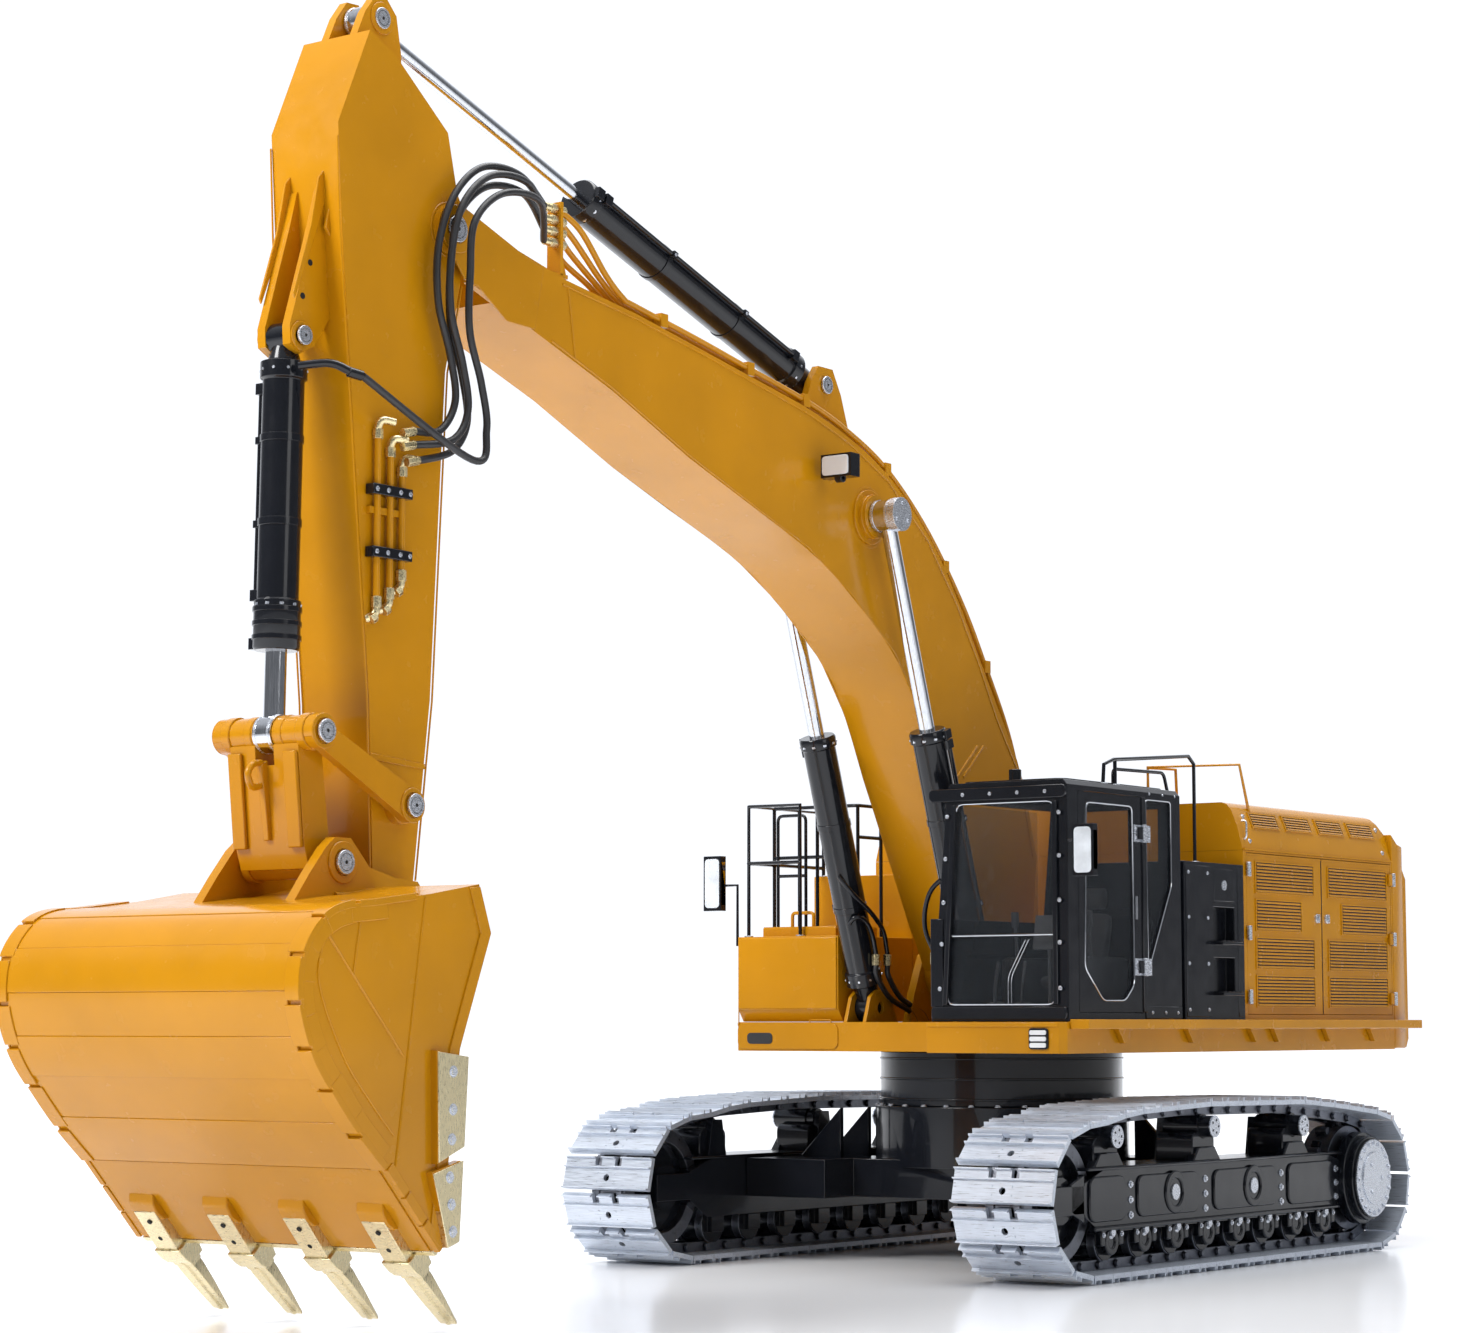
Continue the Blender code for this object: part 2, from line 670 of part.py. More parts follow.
def piston_rod(x, base, eye, start, radius, eye_half, eye_radius):
    length = math.dist(base, eye)
    rod = bar((x, *point_along(base, eye, start)), (x, *point_along(base, eye, length - 0.003)), radius, 12)
    return add(rod, disc("X", eye, eye_radius, x - eye_half, x + eye_half, 18))


LIFT_X = BOOM_X + BOOM_CYLINDER_X


def lift_tube():
    tube = barrel(LIFT_X, LIFT_FOOT, LIFT_EYE, 0.024, 0.281, 0.0162, 0.0077, 0.150, 0.012, 0.0090, 0.0135)
    return add(tube, disc("X", LIFT_FOOT, 0.0055, LIFT_X - 0.0130, LIFT_X + 0.0130, 16))


def lift_rod():
    rod = piston_rod(LIFT_X, LIFT_FOOT, LIFT_EYE, 0.225, 0.0077, 0.0105, 0.0150)
    return add(rod, disc("X", LIFT_EYE, 0.0162, LIFT_X + 0.0100, LIFT_X + 0.0185, 24))


sided("lift_cylinder", lift_tube, BLACK, BOOM_X, True)
sided("lift_rod", lift_rod, STEEL, BOOM_X, True)

crowd = barrel(BOOM_X, CROWD_BASE, CROWD_EYE, 0.032, 0.372, 0.0172, 0.0068, 0.215, 0.014, 0.0130, 0.0150)
crowd = add(crowd, disc("X", CROWD_BASE, 0.0070, BOOM_X - 0.0215, BOOM_X + 0.0215, 16))
finish("stick_cylinder", crowd, BLACK, True)
finish("stick_rod", piston_rod(BOOM_X, CROWD_BASE, CROWD_EYE, 0.310, 0.0068, 0.0110, 0.0130), STEEL, True)

curl = barrel(BOOM_X, CURL_BASE, LINK_TOP, 0.018, 0.2480, 0.0165, 0.0085, 0.205, 0.040, 0.0090, 0.0125)
curl = add(curl, disc("X", CURL_BASE, 0.0058, BOOM_X - 0.0205, BOOM_X + 0.0205, 16))
finish("bucket_cylinder", curl, BLACK, True)
finish("bucket_rod", piston_rod(BOOM_X, CURL_BASE, LINK_TOP, 0.090, 0.0085, 0.0095, 0.0150), STEEL, True)

# ---- stick
STICK_SIDE = mm(
    [
        (-1018, 941), (-1012, 856), (-1000, 745), (-974, 485), (-968, 350), (-962, 318), (-930, 312),
        (-920, 345),
    ]
    + [
        (-902, 490), (-887, 760), (-868, 842), (-861, 868), (-862, 892), (-874, 912), (-886, 960),
        (-952, 1011), (-982, 1024),
    ]
)
stick = prism("X", STICK_SIDE, BOOM_X - STICK_HALF, BOOM_X + STICK_HALF)
pieces = [
    disc("X", BUCKET_PIN, 0.0220, BOOM_X - 0.0436, BOOM_X + 0.0436, 24),
    disc("X", BUCKET_PIN, 0.0085, BOOM_X - 0.0560, BOOM_X + 0.0560, 20),
    disc("X", LINK_STICK, 0.0150, BOOM_X - 0.0436, BOOM_X + 0.0436, 20),
    disc("X", LINK_STICK, 0.0065, BOOM_X - 0.0550, BOOM_X + 0.0550, 12),
    disc("X", BOOM_TIP, 0.0090, BOOM_X - 0.0460, BOOM_X + 0.0460, 20),
]
for side in (-1, 1):
    near, far = sorted((BOOM_X + side * 0.0115, BOOM_X + side * 0.0195))
    ear = mm([
        (-985, 1012), (-925, 995), (-926, 1020), (-932, 1050), (-944, 1062), (-958, 1061), (-970, 1045),
    ])
    rib = mm([
        (-1000, 905), (-1016, 890), (-1024, 860), (-1050, 775), (-1049, 760), (-1037, 754), (-1022, 762),
        (-996, 800),
    ])
    pieces.append(prism("X", ear, near, far))
    near, far = sorted((BOOM_X + side * 0.0093, BOOM_X + side * 0.0175))
    pieces.append(prism("X", rib, near, far))
stick = add(stick, *pieces)
stick = cut(stick, disc("X", CURL_BASE, 0.0061, -0.2, 0.2, 16))
finish("stick", stick, YELLOW)

tubes = []
for y, top_z, low_z in ((-0.972, 0.703, 0.560), (-0.957, 0.690, 0.568), (-0.943, 0.676, 0.584)):
    tubes.append(bar((BOOM_X + 0.0405, y, low_z), (BOOM_X + 0.0405, y, top_z), 0.0028, 8))
    for low, high in ((top_z - 0.006, top_z + 0.003), (low_z - 0.003, low_z + 0.006)):
        tubes.append(box((BOOM_X + 0.0368, BOOM_X + 0.0445), (y - 0.0045, y + 0.0045), (low, high)))
for z in (0.602, 0.652):
    tubes.append(box((BOOM_X + 0.0366, BOOM_X + 0.0455), (-0.981, -0.936), (z - 0.004, z + 0.004)))
finish("stick_pipes", add(tubes[-1], *tubes[:-1]), YELLOW)

# ---- bucket linkage
LINK_SIDE = mm([(-1051, 467), (-1056, 450), (-1047, 443), (-944, 390), (-929, 396), (-929, 410), (-940, 417)])
for name, side in (("bucket_link_l", 1), ("bucket_link_r", -1)):
    near, far = sorted((BOOM_X + side * 0.0440, BOOM_X + side * 0.0525))
    link = prism("X", LINK_SIDE, near, far)
    link = add(
        link,
        disc("X", LINK_TOP, 0.0140, near, far),
        disc("X", LINK_STICK, 0.0140, near, far),
    )
    low, high = sorted((BOOM_X + side * 0.0420, BOOM_X + side * 0.060))
    finish(
        name,
        cut(link, disc("X", LINK_STICK, 0.0068, low, high, 12), disc("X", LINK_TOP, 0.0068, low, high, 12)),
        YELLOW,
    )

H_SIDE = mm([(-1054, 446), (-1046, 368), (-1040, 350), (-1018, 350), (-1018, 372), (-1028, 446)])
h_link = prism("X", H_SIDE, BOOM_X - STICK_HALF, BOOM_X + STICK_HALF)
h_link = add(
    h_link,
    disc("X", EAR_PIN, 0.0125, BOOM_X - 0.0434, BOOM_X + 0.0434),
    disc("X", LINK_TOP, 0.0135, BOOM_X - 0.0436, BOOM_X + 0.0436),
    disc("X", LINK_TOP, 0.0065, BOOM_X - 0.0550, BOOM_X + 0.0550, 12),
)
h_link = cut(h_link, box((BOOM_X - 0.0098, BOOM_X + 0.0098), (-1.09, -0.98), (0.430, 0.50)))
finish("h_link", h_link, YELLOW)

# ---- bucket
SHELL = mm([
    (-1025, 64), (-1084, 127), (-1114, 154), (-1139, 181), (-1158, 204), (-1171, 229), (-1177, 255),
    (-1173, 282), (-1157, 304), (-1134, 316), (-1093, 321), (-1037, 328), (-982, 337), (-969, 300),
    (-1004, 213),
])
HOLLOW = mm([
    (-1021, 70), (-1080, 132), (-1110, 158), (-1134, 185), (-1152, 207), (-1165, 231), (-1171, 255),
    (-1167, 280), (-1153, 299), (-1132, 310), (-1093, 315), (-1037, 322), (-900, 333), (-900, 50),
    (-1012, 58),
])
bucket = prism("X", SHELL, BOOM_X - BUCKET_HALF, BOOM_X + BUCKET_HALF)
bucket = cut(bucket, prism("X", HOLLOW, BOOM_X - BUCKET_HALF + 0.006, BOOM_X + BUCKET_HALF - 0.006))
EAR = mm([
    (-1079, 318), (-1058, 345), (-1040, 366), (-1030, 374), (-1012, 374), (-1004, 366), (-990, 352),
    (-960, 345), (-934, 343), (-922, 330), (-922, 312), (-934, 300), (-958, 300), (-985, 330),
])
UPPER_CUTTER = mm([(-1036, 212), (-1003, 206), (-1006, 140), (-1034, 128)])
LOWER_CUTTER = mm([(-1040, 122), (-1008, 130), (-1012, 70), (-1022, 68)])
parts = []
for side in (-1, 1):
    near, far = sorted((BOOM_X + side * EAR_INNER, BOOM_X + side * 0.0535))
    parts.append(prism("X", EAR, near, far))
    cap_near, cap_far = sorted((BOOM_X + side * 0.0530, BOOM_X + side * 0.0555))
    parts.append(disc("X", EAR_PIN, 0.0085, cap_near, cap_far, 16))
    edge_near, edge_far = sorted((
        BOOM_X + side * (BUCKET_HALF - 0.001),
        BOOM_X + side * (BUCKET_HALF + 0.006),
    ))
    for cutter in (UPPER_CUTTER, LOWER_CUTTER):
        parts.append(prism("X", cutter, edge_near, edge_far))
bucket = add(bucket, *parts)
bucket = cut(bucket, disc("X", BUCKET_PIN, 0.0088, -0.2, 0.2, 20))
finish("bucket", bucket, YELLOW)

EDGE_ALONG = (0.684, -0.730)
EDGE_OUT = (-0.730, -0.684)


def by_edge(points):
    """Points given along and out from the outer face of the lip plate, in millimetres."""
    (ay, az), (oy, oz) = EDGE_ALONG, EDGE_OUT
    return mm([(-1084 + ay * t + oy * n, 127 + az * t + oz * n) for t, n in points])


ADAPTER = by_edge([(50, 0.5), (50, 7), (92, 9), (118, 5), (118, -5), (93, -9), (88, -7.5), (87.2, 0.5)])
TOOTH = by_edge([(110, 4.5), (118, 5.5), (168, 1.5), (168, -1.5), (118, -5.5), (110, -4.5)])
bar_edge = prism("X", by_edge([(87.2, 3), (91, 3), (91, -5), (87.2, -5)]), BOOM_X - 0.140, BOOM_X + 0.140)
teeth = []
for middle in (-0.120, -0.040, 0.040, 0.120):
    teeth.append(prism("X", ADAPTER, BOOM_X + middle - 0.0125, BOOM_X + middle + 0.0125))
    teeth.append(prism("X", TOOTH, BOOM_X + middle - 0.0090, BOOM_X + middle + 0.0090))
finish("bucket_teeth", add(bar_edge, *teeth), BRASS)

# ---- hoses from the boom to the stick
HOSE_RADIUS = 0.0031
HOSE_ENDS = [
    ((-0.7600, 0.924), (-0.9370, 0.703), 0.000),
    ((-0.7600, 0.914), (-0.9370, 0.692), 0.009),
    ((-0.7600, 0.904), (-0.9320, 0.680), 0.018),
    ((-0.7600, 0.894), (-1.0120, 0.735), 0.027),
]
ROUTE = [
    (-0.811, 0.938), (-0.858, 0.935), (-0.893, 0.905), (-0.912, 0.860), (-0.912, 0.813), (-0.897, 0.772),
    (-0.890, 0.735), (-0.908, 0.708),
]


def hose(name, points, count):
    curve = bpy.data.curves.new(name, "CURVE")
    curve.dimensions = "3D"
    curve.bevel_depth = HOSE_RADIUS
    curve.bevel_resolution = 2
    curve.use_fill_caps = True
    line = curve.splines.new("POLY")
    path = smooth_path(points, count)
    line.points.add(len(path) - 1)
    for point, place in zip(line.points, path):
        point.co = (*place, 1)
    curve.materials.append(material(name, *RUBBER))
    made = bpy.data.objects.new(name, curve)
    SCENE.collection.objects.link(made)


for index, (start, end, drop) in enumerate(HOSE_ENDS):
    x = BOOM_X + (0.0500, 0.0572, 0.0500, 0.0644)[index]
    inset = 0.0075 * index
    route = [(x, y + (0.4 if z > 0.9 else 1.0) * inset, z - inset) for y, z in ROUTE]
    points = [(BOOM_X + 0.0350, *start), *route, (BOOM_X + 0.0480 + 0.012 * (index == 3), *end)]
    hose("hose_%d" % (index + 1), points, 30)

for made in bpy.data.objects:
    made.location.y += SHIFT_Y
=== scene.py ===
"""Looks of the radio-controlled excavator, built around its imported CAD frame.

Lengths are metres. As in the CAD source, y is measured from the slew axis while a piece is made:
Kit.done() and the hoses move it by SLEW_Y into the frame. The machine looks along -Y, its left is +X.
"""

import json
import math

import bmesh
import bpy
from mathutils import Matrix, Vector


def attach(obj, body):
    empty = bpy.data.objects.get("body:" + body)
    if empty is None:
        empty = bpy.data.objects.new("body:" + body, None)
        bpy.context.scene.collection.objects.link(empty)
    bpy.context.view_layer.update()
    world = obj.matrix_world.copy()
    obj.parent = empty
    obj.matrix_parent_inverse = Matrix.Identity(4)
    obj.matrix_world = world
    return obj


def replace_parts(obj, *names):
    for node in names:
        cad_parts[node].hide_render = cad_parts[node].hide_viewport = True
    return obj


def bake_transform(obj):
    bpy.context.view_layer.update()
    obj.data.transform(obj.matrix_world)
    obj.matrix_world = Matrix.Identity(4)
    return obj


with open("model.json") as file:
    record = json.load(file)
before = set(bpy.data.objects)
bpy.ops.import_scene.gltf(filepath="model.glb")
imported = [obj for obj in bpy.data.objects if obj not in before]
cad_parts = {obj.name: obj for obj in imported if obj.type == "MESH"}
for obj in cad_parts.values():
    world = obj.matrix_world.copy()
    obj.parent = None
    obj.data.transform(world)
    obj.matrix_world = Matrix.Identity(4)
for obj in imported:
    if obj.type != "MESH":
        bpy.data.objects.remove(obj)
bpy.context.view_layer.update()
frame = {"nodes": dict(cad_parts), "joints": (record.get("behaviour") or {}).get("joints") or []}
JOINTS = {joint["name"]: Vector(joint["pos_m"]) for joint in frame["joints"]}
SLEW_Y = JOINTS["swing"].y
BOOM_X = JOINTS["boom_lift"].x


def pin(joint):
    """(y, z) of a joint's axis, with y from the slew axis."""
    return (JOINTS[joint].y - SLEW_Y, JOINTS[joint].z)


BOOM_FOOT = pin("boom_lift")
BOOM_TIP = pin("stick_crowd")
BUCKET_PIN = pin("bucket_curl")
LIFT_FOOT = pin("lift_cylinder_l_turn")
CROWD_BASE = pin("stick_cylinder_turn")
CURL_BASE = pin("bucket_cylinder_turn")
LINK_STICK = pin("bucket_links_turn")
LINK_TOP = pin("h_link_turn")
LIFT_EYE = (-0.280, 0.713)
CROWD_EYE = (-0.950, 1.044)
EAR_PIN = (-1.021, 0.355)
WHEEL_Z = JOINTS["idler_l_spin"].z
WHEEL_Y = 0.295
TRACK_X = 0.223
SIDES = (("l", 1), ("r", -1))

# ---- camera, low and three-quarters from the front left
camera_data = bpy.data.cameras.new("camera")
camera_data.sensor_width = 36.0
camera_data.lens = 82.8
camera_data.clip_end = 30.0
camera = bpy.data.objects.new("camera", camera_data)
camera.location = (1.8275, -2.6526, 0.2320)
camera.rotation_euler = (math.radians(95.98), 0.0, math.radians(36.07))
bpy.context.scene.collection.objects.link(camera)
bpy.context.scene.camera = camera


# ---- materials
class Nodes:
    """A new material with short calls for the nodes that drive its Principled shader."""

    def __init__(self, name, slot, roughness, metallic):
        self.material = bpy.data.materials.new(name)
        self.material.use_nodes = True
        self.slot = slot
        self.tree = self.material.node_tree
        self.shader = self.tree.nodes["Principled BSDF"]
        self.shader.inputs["Roughness"].default_value = roughness
        self.shader.inputs["Metallic"].default_value = metallic
        self.place = self.tree.nodes.new("ShaderNodeTexCoord").outputs["Object"]

    def link(self, source, node, socket):
        self.tree.links.new(source, node.inputs[socket])

    def noise(self, scale, detail=4.0, stretch=(1, 1, 1)):
        mapping = self.tree.nodes.new("ShaderNodeMapping")
        mapping.inputs["Scale"].default_value = stretch
        self.link(self.place, mapping, "Vector")
        made = self.tree.nodes.new("ShaderNodeTexNoise")
        made.inputs["Scale"].default_value = scale
        made.inputs["Detail"].default_value = detail
        self.link(mapping.outputs["Vector"], made, "Vector")
        return made.outputs["Fac"]

    def ramp(self, source, low, high, first, second):
        made = self.tree.nodes.new("ShaderNodeValToRGB")
        made.color_ramp.elements[0].position = low
        made.color_ramp.elements[1].position = high
        made.color_ramp.elements[0].color = (*first, 1)
        made.color_ramp.elements[1].color = (*second, 1)
        self.link(source, made, "Fac")
        return made.outputs["Color"]

    def span(self, source, low, high):
        made = self.tree.nodes.new("ShaderNodeMapRange")
        made.inputs["From Min"].default_value = 0.3
        made.inputs["From Max"].default_value = 0.7
        made.inputs["To Min"].default_value = low
        made.inputs["To Max"].default_value = high
        self.link(source, made, "Value")
        return made.outputs["Result"]

    def mix(self, share, first, second):
        made = self.tree.nodes.new("ShaderNodeMix")
        made.data_type = "RGBA"
        self.link(share, made, 0)
        self.link(first, made, 6)
        self.link(second, made, 7)
        return made.outputs[2]

    def bump(self, source, strength, distance):
        made = self.tree.nodes.new("ShaderNodeBump")
        made.inputs["Strength"].default_value = strength
        made.inputs["Distance"].default_value = distance
        self.link(source, made, "Height")
        self.link(made.outputs["Normal"], self.shader, "Normal")


def shade(colour, by):
    return tuple(min(1.0, c * by) for c in colour)


def paint(name, slot, colour, roughness, coat, dust):
    """Sprayed enamel: slow drift in tone, fine orange peel and a little settled dust."""
    made = Nodes(name, slot, roughness, 0.0)
    made.shader.inputs["Specular IOR Level"].default_value = 0.22
    made.shader.inputs["Coat Weight"].default_value = coat
    made.shader.inputs["Coat Roughness"].default_value = 0.05
    tone = made.ramp(made.noise(9.0), 0.3, 0.7, shade(colour, 0.90), shade(colour, 1.08))
    grime = made.ramp(made.noise(160.0, 8.0), 0.62, 0.80, (0, 0, 0), (dust, dust, dust))
    grey = made.ramp(made.noise(30.0), 0.2, 0.8, (0.30, 0.27, 0.22), (0.38, 0.35, 0.30))
    made.link(made.mix(grime, tone, grey), made.shader, "Base Color")
    made.link(made.span(made.noise(55.0, 6.0), roughness * 0.8, roughness * 1.3), made.shader, "Roughness")
    made.bump(made.noise(900.0, 2.0), 0.03, 0.0001)
    return made


def metal(name, slot, colour, roughness, stretch, tarnish):
    """Cut metal: fine tool lines along one direction, worn brighter in patches."""
    made = Nodes(name, slot, roughness, 1.0)
    lines = made.noise(1.0, 6.0, stretch)
    tone = made.ramp(lines, 0.25, 0.75, shade(colour, 0.78), shade(colour, 1.12))
    stain = made.ramp(made.noise(70.0, 8.0), 0.50, 0.80, (0, 0, 0), (tarnish, tarnish, tarnish))
    dull = made.ramp(made.noise(25.0), 0.3, 0.7, shade(colour, 0.35), shade(colour, 0.5))
    made.link(made.mix(stain, tone, dull), made.shader, "Base Color")
    made.link(made.span(lines, roughness * 0.7, roughness * 1.5), made.shader, "Roughness")
    made.bump(lines, 0.12, 0.0003)
    return made


def plain(name, slot, colour, roughness, grain, depth):
    """Moulded rubber or plastic with a fine grain; also the pale face that paints a mirror's reflection, and
    the near-black that paints shade in holes and gaps.
    """
    made = Nodes(name, slot, roughness, 0.0)
    tone = made.ramp(made.noise(40.0, 6.0), 0.3, 0.7, shade(colour, 0.8), shade(colour, 1.3))
    made.link(tone, made.shader, "Base Color")
    made.link(made.span(made.noise(90.0), roughness * 0.85, roughness * 1.15), made.shader, "Roughness")
    made.bump(made.noise(grain, 3.0), 0.3, depth)
    return made


def clear(name, slot, colour, alpha):
    """Window glass, faintly smoky, with the odd smear; the pale, nearly opaque lamp lenses made with it carry
    a painted glint.
    """
    made = Nodes(name, slot, 0.03, 0.0)
    made.shader.inputs["Alpha"].default_value = alpha
    made.shader.inputs["Specular IOR Level"].default_value = 0.9
    tone = made.ramp(made.noise(12.0), 0.3, 0.7, shade(colour, 0.85), shade(colour, 1.15))
    made.link(tone, made.shader, "Base Color")
    made.link(made.span(made.noise(20.0, 6.0), 0.015, 0.06), made.shader, "Roughness")
    return made


YELLOW = paint("yellow_enamel", "yellow_paint", (0.520, 0.222, 0.003), 0.22, 0.22, 0.03)
BLACK = paint("black_enamel", "black_paint", (0.006, 0.007, 0.010), 0.20, 0.40, 0.012)
STEEL = metal("turned_steel", "turned_steel", (0.66, 0.69, 0.75), 0.24, (300, 300, 1500), 0.10)
STEEL.shader.inputs["Metallic"].default_value = 0.80
CHROME = metal("chromed_rod", "turned_steel", (0.64, 0.66, 0.70), 0.10, (900, 900, 60), 0.05)
SHOE = metal("milled_shoe", "shoe_metal", (0.62, 0.67, 0.75), 0.34, (60, 1400, 1400), 0.15)
SHOE.shader.inputs["Metallic"].default_value = 0.60
LINK = metal("chain_link", "shoe_metal", (0.20, 0.21, 0.24), 0.36, (500, 300, 300), 0.5)
TOOTH = metal("plated_tooth", "tooth_metal", (0.76, 0.66, 0.42), 0.30, (200, 900, 200), 0.04)
BRASS = metal("brass_fitting", "tooth_metal", (0.80, 0.68, 0.40), 0.28, (700, 700, 700), 0.2)
RUBBER = plain("hose_rubber", "hose_rubber", (0.018, 0.018, 0.020), 0.42, 1500.0, 0.0002)
PLASTIC = plain("dark_plastic", "interior_plastic", (0.030, 0.031, 0.034), 0.55, 1200.0, 0.0003)
FABRIC = plain("seat_cloth", "interior_plastic", (0.060, 0.060, 0.065), 0.85, 2200.0, 0.0006)
HOLE = plain("deep_shadow", "interior_plastic", (0.004, 0.004, 0.004), 0.8, 600.0, 0.0001)
GLASS = clear("window_glass", "black_paint", (0.045, 0.052, 0.060), 0.20)
# Pale, nearly opaque lamp glass: its whiteness is a painted glint that makes the lights look bright.
LENS = clear("lamp_glass_painted_glint", "turned_steel", (0.86, 0.89, 0.91), 0.90)
RED = clear("red_lens", "yellow_paint", (0.55, 0.015, 0.010), 0.85)
# Pale, matte, non-metal mirror face: a painted reflection of a bright room.
MIRROR = plain("mirror_painted_reflection", "turned_steel", (0.66, 0.70, 0.74), 0.12, 200.0, 0.00001)


# ---- mesh building
def mm(points):
    return [(a * 0.001, b * 0.001) for a, b in points]


def unit(a, b):
    """Direction from a to b in the (y, z) plane, and the normal on its left."""
    y, z = b[0] - a[0], b[1] - a[1]
    length = math.hypot(y, z)
    return (y / length, z / length), (-z / length, y / length)


def on_line(x, a, b, distance, out=0.0):
    """The point a distance along the line from a towards b, moved out along its left normal."""
    (y, z), (side_y, side_z) = unit(a, b)
    return Vector((x, a[0] + y * distance + side_y * out, a[1] + z * distance + side_z * out))


def moved_out(outline, distance):
    """An open (y, z) line moved out along its left normals."""
    made = []
    for i, (y, z) in enumerate(outline):
        before, after = outline[max(i - 1, 0)], outline[min(i + 1, len(outline) - 1)]
        _, (side_y, side_z) = unit(before, after)
        made.append((y + side_y * distance, z + side_z * distance))
    return made


def bent(points, bend, steps=5):
    """A line through the points with each inner corner rounded off."""
    path = [Vector(p) for p in points]
    made = [path[0]]
    for before, corner, after in zip(path, path[1:], path[2:]):
        near = corner + (before - corner).normalized() * bend
        far = corner + (after - corner).normalized() * bend
        for i in range(steps):
            t = i / (steps - 1)
            made.append(near * (1 - t) ** 2 + corner * (2 * t * (1 - t)) + far * t**2)
    return made + [path[-1]]


def across(side, low, high, about=0.0):
    """The x range between two distances from a plane, on one side of it."""
    return sorted((about + side * low, about + side * high))


def beside(side, low, high):
    """The x range between two distances from the boom's middle plane."""
    return across(side, low, high, BOOM_X)


def around(centre, radius, turn):
    """The point of a circle at this angle in degrees."""
    angle = math.radians(turn)
    return (centre[0] + radius * math.cos(angle), centre[1] + radius * math.sin(angle))


def smooth_path(points, count):
    """Points on a Catmull-Rom curve through the given ones."""
    ends = [Vector(p) for p in (points[0], *points, points[-1])]
    path = []
    for i in range(count):
        place = i * (len(points) - 1) / (count - 1)
        k = min(int(place), len(points) - 2)
        t = place - k
        a, b, c, d = ends[k : k + 4]
        square = (2 * a - 5 * b + 4 * c - d) * t**2
        cube = (3 * b - a - 3 * c + d) * t**3
        path.append(0.5 * (2 * b + (c - a) * t + square + cube))
    return path


